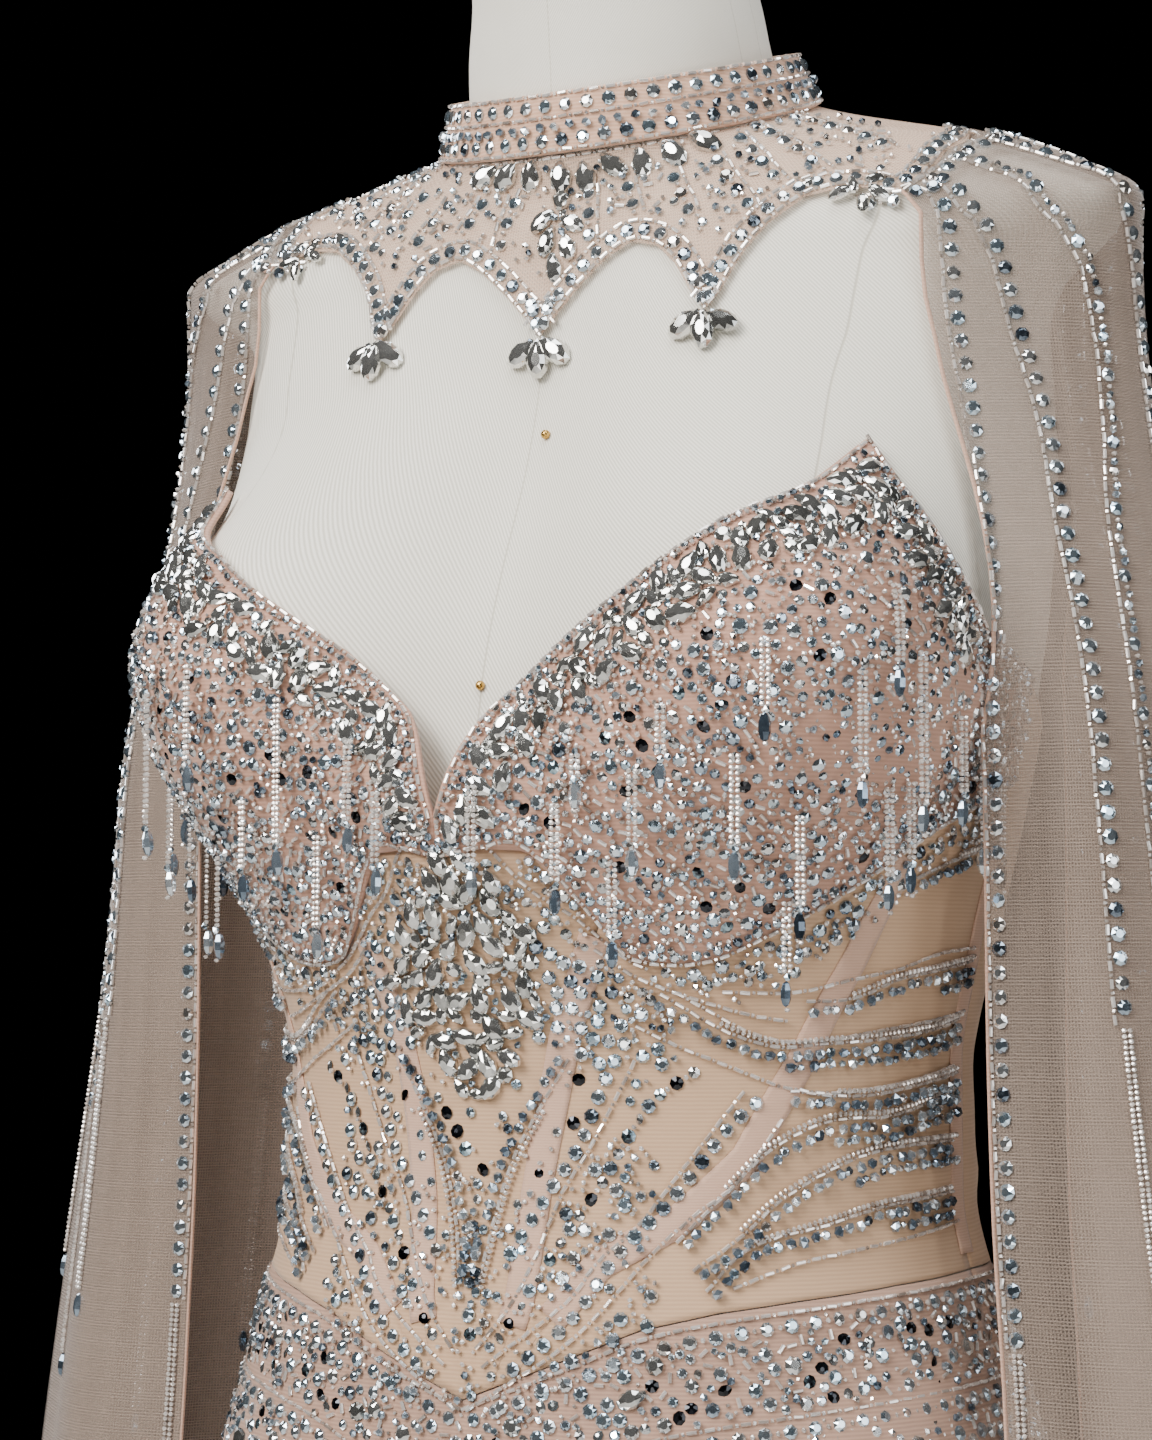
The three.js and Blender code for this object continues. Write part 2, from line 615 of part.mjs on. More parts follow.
function addSkirt() {
  const frontHalf = trace(HIP_SEAM, [2, 2, 1, 1, 2, 2]);
  const columns = frontHalf.length - 1;
  const hem = (from, to, steps) => trace([[from, HEM_LEVEL], [to, HEM_LEVEL]], steps);
  const uprightRun = (turn) => SKIRT_LEVELS.map((level) => ({ turn, level }));
  const front = {
    bottom: hem(-SIDE_SEAM_TURN, SIDE_SEAM_TURN, columns * 2),
    top: [...mirrored(frontHalf), ...frontHalf.slice(1)],
    left: uprightRun(-SIDE_SEAM_TURN),
    right: uprightRun(SIDE_SEAM_TURN),
  };
  const back = {
    bottom: hem(SIDE_SEAM_TURN, BACK_SEAM_TURN, columns),
    top: trace([[SIDE_SEAM_TURN, HIP_LEVEL_BACK], [BACK_SEAM_TURN, HIP_LEVEL_BACK]], columns),
    left: uprightRun(SIDE_SEAM_TURN),
    right: uprightRun(BACK_SEAM_TURN),
  };
  const cloth = { gap: FORM_GAP, wall: MESH_WALL };
  addPiece('skirt_front', 'skirt_mesh', clothPanel(gownSurface, front, { ...cloth, lift: bridgeLift }));
  addBoth('skirt_back', 'skirt_mesh', gownSurface, back, cloth);
}

// Yoke: scalloped front and plain backs, rising off the form to meet the standing collar
const SCALLOP = [[SHOULDER_TURN, 353], [80, 345], [70, 327], [66, 331], [60, 328], [54, 317], [48, 302],
  [44.5, 292], [41.5, 286], [39.5, 292], [37, 303], [33, 311], [27, 314], [20, 308], [12, 299],
  [5, 290], [0, 283]];
const YOKE_BACK_EDGE = [[SHOULDER_TURN, 353], [100, 347], [110, 336], [125, 328], [145, 322],
  [BACK_SEAM_TURN, 320]];
const YOKE_ROWS = 5;
const YOKE_RISE_LEVEL = 352;
const YOKE_FAN_COLUMNS = 8;

function yokeSurface(place) {
  const collarFoot = collarSurface({ turn: place.turn, level: YOKE_TOP_LEVEL });
  const rise = THREE.MathUtils.smoothstep(place.level, YOKE_RISE_LEVEL, YOKE_TOP_LEVEL);
  return standOff(formSurface, place, YOKE_GAP).lerp(collarFoot, rise);
}

function addYoke() {
  const rightHalf = trace(SCALLOP, 1).map(({ turn, level }) => ({ turn: -turn, level }));
  const leftHalf = mirrored(rightHalf).slice(1);
  const bottom = [...rightHalf, ...leftHalf];
  const edge = (turn, level) => trace([[turn, level], [turn, YOKE_TOP_LEVEL]], YOKE_ROWS);
  const flatTop = (places) => places.map(({ turn }) => ({ turn, level: YOKE_TOP_LEVEL }));
  const front = {
    bottom,
    top: flatTop(bottom),
    left: edge(-SHOULDER_TURN, SCALLOP[0][1]),
    right: edge(SHOULDER_TURN, SCALLOP[0][1]),
  };
  const middle = (bottom.length - 1) / 2;
  const relief = (r, c) => {
    const fan = r === YOKE_ROWS - 1 && Math.abs(c - middle) < YOKE_FAN_COLUMNS;
    const cluster = Math.abs(c - middle) < 2;
    return (fan || cluster) && (r + c) % 2 ? YOKE_STONE : 0;
  };
  const cloth = { gap: 0, wall: MESH_WALL };
  addPiece('yoke_front', 'yoke_mesh', clothPanel(yokeSurface, front, { ...cloth, relief }));
  const backBottom = trace(YOKE_BACK_EDGE, [2, 2, 3, 3, 4]);
  const back = {
    bottom: backBottom,
    top: flatTop(backBottom),
    left: edge(SHOULDER_TURN, YOKE_BACK_EDGE[0][1]),
    right: edge(BACK_SEAM_TURN, YOKE_BACK_EDGE[5][1]),
  };
  addBoth('yoke_back', 'yoke_mesh', yokeSurface, back, cloth);
}

// Collar: a standing band open by a narrow slit at the centre back
function addCollar() {
  const slit = COLLAR_SLIT_TURN;
  const low = YOKE_TOP_LEVEL + COLLAR_GAP;
  const high = YOKE_TOP_LEVEL + COLLAR_HEIGHT;
  const field = {
    bottom: trace([[-slit, low], [slit, low]], COLLAR_COLUMNS),
    top: trace([[-slit, high], [slit, high]], COLLAR_COLUMNS),
    left: trace([[-slit, low], [-slit, high]], 1),
    right: trace([[slit, low], [slit, high]], 1),
  };
  addPiece('collar', 'yoke_mesh', clothPanel(collarSurface, field, { gap: 0, wall: COLLAR_WALL }));
}

// Capes: each runs from the yoke's shoulder seam over the shoulder tip and hangs free
const CAPE_SEAM = [[70, 327], [80, 345], [SHOULDER_TURN, 353], [100, 347], [110, 336]];
const CAPE_COLUMNS = 16;
const CAPE_FRONT = -90;
const CAPE_SWEEP = 190;
const CAPE_FOLD_TURN = 60;
const SHOULDER_LEVEL = 318;
const CAPE_TOP_ROWS = 4;
const CAPE_CLEAR = 7.4;
const CAPE_SECTIONS = rowsOf(['level', 'centre', 'reach', 'front', 'back', 'fold'], [
  [-1036, 262, 348, 104, 124, 10],
  [-920, 232, 330, 96, 114, 9],
  [-800, 208, 314, 88, 104, 8],
  [-640, 186, 296, 78, 92, 7],
  [-480, 174, 280, 70, 84, 6],
  [-320, 167, 266, 62, 76, 5],
  [-200, 161, 256, 57, 71, 4.5],
  [-110, 155, 246, 54, 68, 4],
  [-60, 153, 239, 52, 66, 3.6],
  [0, 150, 229, 52, 64, 3.2],
  [60, 149, 219, 52, 62, 3],
  [130, 149, 211, 52, 60, 2.6],
  [180, 149, 207, 52, 58, 2],
  [220, 146, 203, 50, 55, 1.4],
  [260, 137, 197, 48, 52, 0.8],
  [300, 130, 190, 45, 48, 0.2],
  [SHOULDER_LEVEL, 128, 184, 44, 46, 0],
]);
const CAPE_LEVELS = [-1036, -900, -760, -600, -440, -300, -180, -85, 0, 80, 145, 200, 245, 278, 302];

const capeSection = smoothCurve(CAPE_SECTIONS);

function placeUnder(point) {
  const turn = THREE.MathUtils.radToDeg(Math.atan2(point.x, -point.y));
  return { turn, level: point.z - WAIST_HEIGHT };
}

function capeHangs(share, level) {
  const section = capeSection(level);
  const angle = CAPE_FRONT + CAPE_SWEEP * share;
  const depth = angle < 0 ? section.front : section.back;
  const wave = section.fold * Math.cos(radians((360 / CAPE_FOLD_TURN) * angle));
  const width = section.reach - section.centre + wave;
  const point = new THREE.Vector3(
    section.centre + width * Math.cos(radians(angle)),
    (depth + wave) * Math.sin(radians(angle)),
    WAIST_HEIGHT + level);
  const body = gownSurface(placeUnder(point));
  const reach = Math.hypot(body.x, body.y) + CAPE_CLEAR;
  const radius = Math.hypot(point.x, point.y);
  if (radius < reach) {
    point.x *= reach / radius;
    point.y *= reach / radius;
  }
  return point;
}

function capeOverShoulder(share, rise, seam) {
  const hang = placeUnder(capeHangs(share, SHOULDER_LEVEL));
  const place = {
    turn: lerp(hang.turn, seam.turn, rise),
    level: lerp(hang.level, seam.level, rise),
  };
  return standOff(formSurface, place, CAPE_GAP);
}

function gridNormal(points, r, c) {
  const right = points[r][Math.min(c + 1, points[r].length - 1)];
  const left = points[r][Math.max(c - 1, 0)];
  const up = points[Math.min(r + 1, points.length - 1)][c];
  const down = points[Math.max(r - 1, 0)][c];
  return right.clone().sub(left).cross(up.clone().sub(down)).normalize();
}

function capeWall(flip) {
  const seam = resample(trace(CAPE_SEAM, 2), CAPE_COLUMNS);
  const shares = seam.map((_, c) => c / CAPE_COLUMNS);
  const rows = CAPE_LEVELS.map((level) => shares.map((share) => capeHangs(share, level)));
  for (let r = 0; r <= CAPE_TOP_ROWS; r++) {
    rows.push(shares.map((share, c) => capeOverShoulder(share, r / CAPE_TOP_ROWS, seam[c])));
  }
  const side = flip ? rows.map((row) => row.map((p) => new THREE.Vector3(-p.x, p.y, p.z)).reverse())
    : rows;
  const outer = side.map((row, r) => row.map(
    (point, c) => point.clone().addScaledVector(gridNormal(side, r, c), CAPE_WALL)));
  return wallBetween(drawIn(outer, SEAM_GAP / 2), drawIn(side, SEAM_GAP / 2));
}

function addCapes() {
  addPiece('cape_left', 'cape_tulle', capeWall(false));
  addPiece('cape_right', 'cape_tulle', capeWall(true));
}

// Bead fringe: two narrow backings on each cup, with their strands hanging free
const FRINGES = {
  upper_fringe: { level: 170, from: 29, to: 56, strands: 8, lengths: [46, 62, 50, 70] },
  lower_fringe: { level: 138, from: 14, to: 82, strands: 11, lengths: [30, 44, 36, 40, 26] },
};
const STRIP_HALF_HEIGHT = 1.5;
const STRIP_WALL = 1.6;
const STRAND_PROUD = 0.2;
const STRAND_SIDES = 3;

function strandSolid(root, length) {
  const stops = rowsOf(['down', 'radius'], [
    [-STRIP_HALF_HEIGHT / 2, STRAND_RADIUS], [length - DROP_HEIGHT / 2, DROP_RADIUS],
    [length, STRAND_RADIUS / 2]]).reverse();
  return closedTube(stops.map(({ down, radius }) => Array.from({ length: STRAND_SIDES }, (_, i) => {
    const angle = (i / STRAND_SIDES) * 2 * Math.PI;
    return new THREE.Vector3(
      root.x + radius * Math.cos(angle), root.y + radius * Math.sin(angle), root.z - down);
  })));
}

function fringeSolid({ level, from, to, strands, lengths }, side) {
  const base = CUP_GAP + CUP_WALL + RAISED_SMALL / 2 + FRINGE_GAP;
  const run = trace([[side * from, level], [side * to, level]], strands + 1);
  const ordered = side > 0 ? run : run.slice().reverse();
  const rowAt = (distance) => [-1, 1].map((up) => ordered.map(({ turn, level: height }) => standOff(
    gownSurface, { turn, level: height + up * STRIP_HALF_HEIGHT },
    distance + bridgeLift({ turn, level: height }))));
  const strip = wallBetween(rowAt(base + STRIP_WALL), rowAt(base));
  const hung = run.slice(1, -1).map((place, i) => {
    const root = standOff(gownSurface, place, base + STRIP_WALL + STRAND_PROUD + bridgeLift(place));
    return strandSolid(root, lengths[i % lengths.length]);
  });
  return joined([strip, ...hung]);
}

function addFringes() {
  for (const [name, fringe] of Object.entries(FRINGES)) {
    addPiece(`${name}_left`, 'stones', fringeSolid(fringe, 1));
    addPiece(`${name}_right`, 'stones', fringeSolid(fringe, -1));
  }
}

// Pear stones in fans of three: drops under the yoke's points, and clusters at its corners
const PEAR_OUTLINE = rowsOf(['along', 'across'], [[0, 0.12], [0.3, 0.55], [0.62, 1], [0.88, 0.72],
  [1, 0.25]]);
const DROP_PLACES = {
  yoke_drop_centre: { turn: 0, level: 283 },
  yoke_drop_left: { turn: 41.5, level: 286 },
  yoke_drop_right: { turn: -41.5, level: 286 },
};
const DROP_FAN = [-42, 0, 42];

function pearSolid(length, radius) {
  const left = PEAR_OUTLINE.map(({ along, across }) => [-across * radius, -along * length]);
  const right = PEAR_OUTLINE.map(({ along, across }) => [across * radius, -along * length]).reverse();
  const outline = [...left, ...right];
  const centre = [0, -PEAR_BELLY * length];
  const ring = (share, height) => outline.map(([x, z]) => new THREE.Vector3(
    lerp(centre[0], x, share), -height, lerp(centre[1], z, share)));
  return closedTube([ring(1, 0), ring(PEAR_TABLE, PEAR_HEIGHT)]);
}

function stoneFan(place) {
  const normal = surfaceNormal(formSurface, place);
  const up = formSurface({ ...place, level: place.level + 1 }).sub(formSurface(place)).normalize();
  const across = up.clone().cross(normal).normalize();
  const origin = standOff(formSurface, place, DROP_GAP);
  const frame = new THREE.Matrix4().makeBasis(across, normal.clone().negate(), up);
  const stones = DROP_FAN.map((angle) => pearSolid(PEAR_LENGTH, PEAR_RADIUS)
    .applyMatrix4(new THREE.Matrix4().makeRotationY(radians(angle)))
    .applyMatrix4(frame)
    .translate(origin.x, origin.y, origin.z));
  return joined(stones);
}

function addDrops() {
  for (const [name, { turn, level }] of Object.entries(DROP_PLACES)) {
    addPiece(name, 'stones', stoneFan({ turn, level: level - DROP_BELOW }));
  }
}

addStand();
addForm();
addBodice();
addSkirt();
addYoke();
addCollar();
addCapes();
addFringes();
addDrops();

export default gown;
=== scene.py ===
"""Looks of a beaded evening gown with cape sleeves, worn by a dress form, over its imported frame."""
import logging
import math
from collections.abc import Callable, Sequence
from dataclasses import dataclass, field
from enum import Enum

import bpy
import numpy as np
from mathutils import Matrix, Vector


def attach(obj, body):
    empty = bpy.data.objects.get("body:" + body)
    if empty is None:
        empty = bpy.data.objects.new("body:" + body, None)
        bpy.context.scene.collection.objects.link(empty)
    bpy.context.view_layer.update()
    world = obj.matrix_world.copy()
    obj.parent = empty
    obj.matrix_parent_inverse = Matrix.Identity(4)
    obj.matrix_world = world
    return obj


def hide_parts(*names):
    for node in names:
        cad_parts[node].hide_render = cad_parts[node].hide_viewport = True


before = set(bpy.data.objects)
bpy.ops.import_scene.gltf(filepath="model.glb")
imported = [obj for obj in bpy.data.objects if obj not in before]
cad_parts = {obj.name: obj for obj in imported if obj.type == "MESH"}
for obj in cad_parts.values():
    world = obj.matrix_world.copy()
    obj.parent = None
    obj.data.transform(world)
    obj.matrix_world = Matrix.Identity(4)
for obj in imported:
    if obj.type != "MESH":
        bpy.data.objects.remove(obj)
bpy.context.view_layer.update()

LOG = logging.getLogger("gown")
MM = 0.001

# Driving sizes in millimetres, as the solids have them
WAIST_HEIGHT = 1060.0
FORM_GAP = 1.8
CUP_GAP = 2.8
MESH_WALL = 1.2
CUP_WALL = 2.0
YOKE_GAP = 1.9
CAPE_GAP = 2.6
CAPE_CLEAR = 7.4
CAPE_WALL = 1.0
COLLAR_WALL = 2.0
COLLAR_GAP = 0.8
COLLAR_HEIGHT = 21.0
YOKE_TOP_LEVEL = 369.0
YOKE_RISE_LEVEL = 352.0
SIDE_SEAM_TURN = 88.0
BACK_SEAM_TURN = 180.0
SHOULDER_TURN = 90.0
HEM_LEVEL = -1048.0
HIP_LEVEL_BACK = -27.0
SKIRT_JOIN_LEVEL = -150.0
CUP_BASE_SIDE = 134.0
ARMPIT_LEVEL = 170.0
TAPE_LIFT = 0.45
TAPE_WALL = 0.4
YOKE_MESH = 0.6
CHANNEL_WIDTH = 10.1
SEAM_GAP = 0.5
TURN_LENGTH = 2.3

Array = np.ndarray
Stops = Sequence[Sequence[float]]


@dataclass(frozen=True)
class Bump:
    """A soft rise on the body: its place, height and spread."""

    turn: float
    level: float
    height: float
    spread: float
    above: float
    below: float


BUST = Bump(turn=40, level=183, height=58, spread=19, above=51, below=47)
BRIDGE = Bump(turn=0, level=128, height=21, spread=12, above=30, below=48)

# Columns: level, half width, reach to the front, reach to the back, shift, roundness, tilt
FORM_SECTIONS = (
    (-250, 160, 112, 124, 0, 2.3, 0),
    (-200, 162, 115, 128, 0, 2.3, 0),
    (-150, 156, 118, 122, 0, 2.25, 0),
    (-100, 143, 120, 108, 0, 2.2, 0),
    (-50, 130, 117, 94, 0, 2.1, 0),
    (0, 118, 108, 84, 0, 2.1, 0),
    (40, 118, 105, 86, 0, 2.1, 0),
    (80, 125, 107, 94, 0, 2.15, 0),
    (120, 134, 110, 102, 0, 2.2, 0),
    (160, 141, 99, 108, 0, 2.3, 0),
    (200, 145, 85, 112, 0, 2.5, 0),
    (240, 146, 72, 112, 0, 2.8, 0),
    (270, 145, 67, 108, 0, 2.9, 0),
    (292, 147, 66, 100, 0, 2.6, 0),
    (306, 157, 65, 92, 0, 2.2, 0),
    (318, 177, 64, 84, 0, 1.9, 0.03),
    (327, 183, 63, 78, 0, 1.75, 0.07),
    (336, 168, 61, 73, 0, 1.65, 0.12),
    (345, 148, 59, 68, 0, 1.6, 0.18),
    (354, 122, 58, 64, 0, 1.6, 0.25),
    (362, 90, 57, 59, -1, 1.7, 0.31),
    (368, 66, 55, 55, -2, 1.85, 0.35),
    (374, 58, 54, 53, -4, 1.95, 0.37),
    (382, 55.5, 53, 52, -7, 2, 0.38),
    (392, 54, 52, 51, -10, 2, 0.38),
    (404, 53, 50, 50, -13, 2, 0.38),
    (430, 49, 48, 49, -18, 2, 0.38),
    (462, 48, 47, 48, -26, 2, 0.38),
)
SKIRT_SECTIONS = (
    (-1050, 238, 212, 250, 0, 2.05, 0),
    (-1000, 228, 202, 236, 0, 2.05, 0),
    (-900, 206, 180, 206, 0, 2.1, 0),
    (-800, 184, 158, 176, 0, 2.1, 0),
    (-700, 166, 140, 153, 0, 2.15, 0),
    (-600, 157, 129, 138, 0, 2.2, 0),
    (-500, 155, 124, 132, 0, 2.2, 0),
    (-400, 159, 121, 132, 0, 2.25, 0),
    (-300, 165, 119, 133, 0, 2.3, 0),
    (-220, 166, 117, 130, 0, 2.3, 0),
)
COLLAR_SECTIONS = (
    (YOKE_TOP_LEVEL - 4, 70, 62, 58, 0, 2, 0.35),
    (YOKE_TOP_LEVEL, 68, 61, 57, -1, 2, 0.355),
    (YOKE_TOP_LEVEL + COLLAR_HEIGHT, 60.5, 57, 54, -6.5, 2, 0.33),
    (YOKE_TOP_LEVEL + COLLAR_HEIGHT + 6, 59, 56, 53, -8, 2, 0.33),
)
# Columns: level, centre, reach to the side, reach to the front, reach to the back, fold
CAPE_SECTIONS = (
    (-1036, 262, 348, 104, 124, 10),
    (-920, 232, 330, 96, 114, 9),
    (-800, 208, 314, 88, 104, 8),
    (-640, 186, 296, 78, 92, 7),
    (-480, 174, 280, 70, 84, 6),
    (-320, 167, 266, 62, 76, 5),
    (-200, 161, 256, 57, 71, 4.5),
    (-110, 155, 246, 54, 68, 4),
    (-60, 153, 239, 52, 66, 3.6),
    (0, 150, 229, 52, 64, 3.2),
    (60, 149, 219, 52, 62, 3),
    (130, 149, 211, 52, 60, 2.6),
    (180, 149, 207, 52, 58, 2),
    (220, 146, 203, 50, 55, 1.4),
    (260, 137, 197, 48, 52, 0.8),
    (300, 130, 190, 45, 48, 0.2),
    (318, 128, 184, 44, 46, 0),
)

# Seams on the left half, as (turn in degrees from the centre front, level above the waist)
CUP_BASE = ((0, 111), (8, 114), (14, 113), (22, 88), (27, 76), (37, 75), (46, 84), (55, 97),
            (66, 115), (76, 125), (SIDE_SEAM_TURN, CUP_BASE_SIDE))
CUP_BASE_STEPS = (2, 1, 2, 1, 2, 2, 1, 2, 3, 5)
NECKLINE = ((0, 122), (5, 137), (10, 153), (19, 174), (27, 189), (37, 207), (48, 220), (58.5, 238))
NECKLINE_STEPS = (1, 1, 2, 2, 2, 2, 2)
CUP_SIDE = ((58.5, 238), (60, 222), (65, 198), (71, 180), (SIDE_SEAM_TURN, ARMPIT_LEVEL))
CUP_SIDE_STEPS = (1, 1, 2, 5)
FRONT_SEAM = ((5, -58.8), (8.8, -32), (10.5, 0), (12, 17), (15.5, 50), (22, 88))
FRONT_SEAM_STEPS = (2, 2, 2, 2, 3)
SWEEP_SEAM = ((8.5, -56), (12, -42), (21.5, -20), (33.5, -7), (44, 12), (53.7, 45), (60, 76), (66, 115))
SWEEP_SEAM_STEPS = (1, 2, 1, 1, 2, 2, 2)
SIDE_ROW_EASE = 1.4
HIP_SEAM = ((0, -63), (15.5, -50), (27.5, -40), (39, -35), (51, -32), (68, -29),
            (SIDE_SEAM_TURN, HIP_LEVEL_BACK))
BACK_TOP = ((SIDE_SEAM_TURN, ARMPIT_LEVEL), (110, 150), (140, 127), (BACK_SEAM_TURN, 116))
SCALLOP = ((0, 283), (5, 290), (12, 299), (20, 308), (27, 314), (33, 311), (37, 303), (39.5, 292),
           (41.5, 286), (44.5, 292), (48, 302), (54, 317), (60, 328), (66, 331), (70, 327), (80, 345),
           (SHOULDER_TURN, 353))
YOKE_BACK_EDGE = ((SHOULDER_TURN, 353), (100, 347), (110, 336), (125, 328), (145, 322),
                  (BACK_SEAM_TURN, 320))
CAPE_SEAM = ((70, 327), (80, 345), (SHOULDER_TURN, 353), (100, 347), (110, 336))


def smoothstep(value: Array, low: float, high: float) -> Array:
    """Eases from 0 at low to 1 at high."""
    t = np.clip((np.asarray(value, float) - low) / (high - low), 0, 1)
    return t * t * (3 - 2 * t)


def bell(distance: Array, spread: float) -> Array:
    """Gives a soft bump of height 1 and the given spread."""
    return np.exp(-0.5 * (distance / spread) ** 2)


def unit(vectors: Array) -> Array:
    """Scales vectors to length 1."""
    return vectors / np.maximum(np.linalg.norm(vectors, axis=-1, keepdims=True), 1e-9)


def run(stops: Stops, steps: int | Sequence[int] = 1) -> Array:
    """Walks through the stops in even steps.

    Args:
        stops: Places as (turn, level).
        steps: Steps between stops, one number for all or one for each stretch.

    Returns:
        The places, one row each.
    """
    places = [np.array([stops[0]], float)]
    for i in range(len(stops) - 1):
        count = steps if isinstance(steps, int) else steps[i]
        share = np.arange(1, count + 1)[:, None] / count
        places.append((1 - share) * np.array(stops[i], float) + share * np.array(stops[i + 1], float))
    return np.vstack(places)


def pick(places: Array, share: Array) -> Array:
    """Reads a run of places at shares from 0 to 1 of its steps."""
    at = np.clip(np.asarray(share, float), 0, 1) * (len(places) - 1)
    index = np.arange(len(places))
    return np.stack([np.interp(at, index, places[:, k]) for k in range(places.shape[1])], axis=-1)


class SectionCurve:
    """Smooth values between the rows of a section table, with no overshoot."""

    def __init__(self, rows: Stops) -> None:
        """Works out the slope at each row."""
        table = np.array(rows, float)
        self.levels = table[:, 0]
        self.values = table[:, 1:]
        self.step = np.diff(self.levels)
        rise = np.diff(self.values, axis=0) / self.step[:, None]
        slopes = np.zeros_like(self.values)
        slopes[0], slopes[-1] = rise[0], rise[-1]
        near = (2 * self.step[1:] + self.step[:-1])[:, None]
        far = (self.step[1:] + 2 * self.step[:-1])[:, None]
        same = rise[:-1] * rise[1:] > 0
        before = np.where(same, rise[:-1], 1.0)
        after = np.where(same, rise[1:], 1.0)
        slopes[1:-1] = np.where(same, (near + far) / (near / before + far / after), 0.0)
        self.slopes = slopes

    def at(self, level: Array) -> Array:
        """Reads all columns at the given levels.

        Args:
            level: Levels in millimetres above the waist.

        Returns:
            The values, with the columns on the last axis.
        """
        level = np.asarray(level, float)
        i = np.clip(np.searchsorted(self.levels, level, side="right") - 1, 0, len(self.step) - 1)
        t = np.clip((level - self.levels[i]) / self.step[i], 0, 1)[..., None]
        step = self.step[i][..., None]
        start = (1 + 2 * t) * (1 - t) ** 2 * self.values[i]
        end = t * t * (3 - 2 * t) * self.values[i + 1]
        leave = t * (1 - t) ** 2 * step * self.slopes[i]
        arrive = t * t * (t - 1) * step * self.slopes[i + 1]
        return start + end + leave + arrive


class Surface:
    """A surface laid out by two coordinates, in millimetres."""

    across_step = 0.2
    up_step = 0.4

    def points(self, a: Array, b: Array) -> Array:
        """Gives the points at the coordinates."""
        raise NotImplementedError

    def normals(self, a: Array, b: Array) -> Array:
        """Gives the outward directions at the coordinates."""
        across = self.points(a + self.across_step, b) - self.points(a - self.across_step, b)
        up = self.points(a, b + self.up_step) - self.points(a, b - self.up_step)
        return unit(np.cross(across, up))

    def off(self, a: Array, b: Array, distance: float | Array) -> Array:
        """Gives points that stand off the surface."""
        a, b = np.broadcast_arrays(np.asarray(a, float), np.asarray(b, float))
        distance = np.broadcast_to(np.asarray(distance, float), a.shape)
        return self.points(a, b) + self.normals(a, b) * distance[..., None]


class BodySurface(Surface):
    """The round body of a section table, with its bust mounds and hem flutes."""

    FLUTE_DEPTH = 11.0
    FLUTES = 8
    FLUTE_START = 520.0
    SWAY = 20.0
    SWAY_WAVES = 3

    def __init__(self, rows: Stops, bust: bool = True, fluted: bool = False) -> None:
        """Keeps the table and what is added to it."""
        self.sections = SectionCurve(rows)
        self.bust = bust
        self.fluted = fluted

    def extra(self, turn: Array, level: Array) -> Array:
        """Gives what the bust and the flutes add to the radius."""
        added = np.zeros(np.broadcast(turn, level).shape)
        if self.bust:
            run_out = np.where(level > BUST.level, BUST.above, BUST.below)
            rise = np.exp(-0.5 * ((level - BUST.level) / run_out) ** 2)
            for side in (-1, 1):
                round_to = (turn - side * BUST.turn + 540) % 360 - 180
                added = added + BUST.height * bell(round_to, BUST.spread) * rise
        if self.fluted:
            fall = smoothstep(-level, self.FLUTE_START, -HEM_LEVEL)
            sway = self.SWAY * np.sin(np.radians(self.SWAY_WAVES * turn))
            added = added + self.FLUTE_DEPTH * fall * np.cos(np.radians(self.FLUTES * turn + sway))
        return added

    def points(self, a: Array, b: Array) -> Array:
        """Gives the points at turn a and level b."""
        turn, level = np.broadcast_arrays(np.asarray(a, float), np.asarray(b, float))
        half, front, back, shift, roundness, tilt = np.moveaxis(self.sections.at(level), -1, 0)
        side = np.sin(np.radians(turn))
        ahead = np.cos(np.radians(turn))
        depth = np.where(ahead > 0, front, back)
        total = np.abs(side / half) ** roundness + np.abs(ahead / depth) ** roundness
        radius = total ** (-1 / roundness) + self.extra(turn, level)
        y = -radius * ahead + shift
        return np.stack([radius * side, y, WAIST_HEIGHT + level + tilt * y], axis=-1)


class Layer(Surface):
    """A cloth laid on another surface at a gap, bridging from cup to cup at the front."""

    def __init__(self, base: Surface, gap: float, bridged: bool = False,
                 creases: "Sequence[Crease]" = ()) -> None:
        """Keeps the surface below and how far this one stands off."""
        self.base = base
        self.gap = gap
        self.bridged = bridged
        self.creases = creases

    def lift(self, turn: Array, level: Array) -> Array:
        """Gives the stand-off at each place."""
        height = np.full(np.broadcast(turn, level).shape, self.gap)
        if self.bridged:
            run_out = np.where(level > BRIDGE.level, BRIDGE.above, BRIDGE.below)
            height = height + BRIDGE.height * bell(turn, BRIDGE.spread) * np.exp(
                -0.5 * ((level - BRIDGE.level) / run_out) ** 2)
        for crease in self.creases:
            height = height + crease.depth_at(turn, level)
        return height

    def points(self, a: Array, b: Array) -> Array:
        """Gives the points at turn a and level b."""
        return self.base.off(a, b, self.lift(np.asarray(a, float), np.asarray(b, float)))


class YokeSurface(Surface):
    """The yoke, which follows the form and rises off it to meet the collar's foot."""

    def __init__(self, form: Surface, collar: Surface) -> None:
        """Keeps the form and the collar."""
        self.form = form
        self.collar = collar

    def points(self, a: Array, b: Array) -> Array:
        """Gives the points at turn a and level b."""
        a, b = np.broadcast_arrays(np.asarray(a, float), np.asarray(b, float))
        foot = self.collar.points(a, np.full(a.shape, YOKE_TOP_LEVEL))
        rise = smoothstep(b, YOKE_RISE_LEVEL, YOKE_TOP_LEVEL)[..., None]
        return self.form.off(a, b, YOKE_GAP) * (1 - rise) + foot * rise


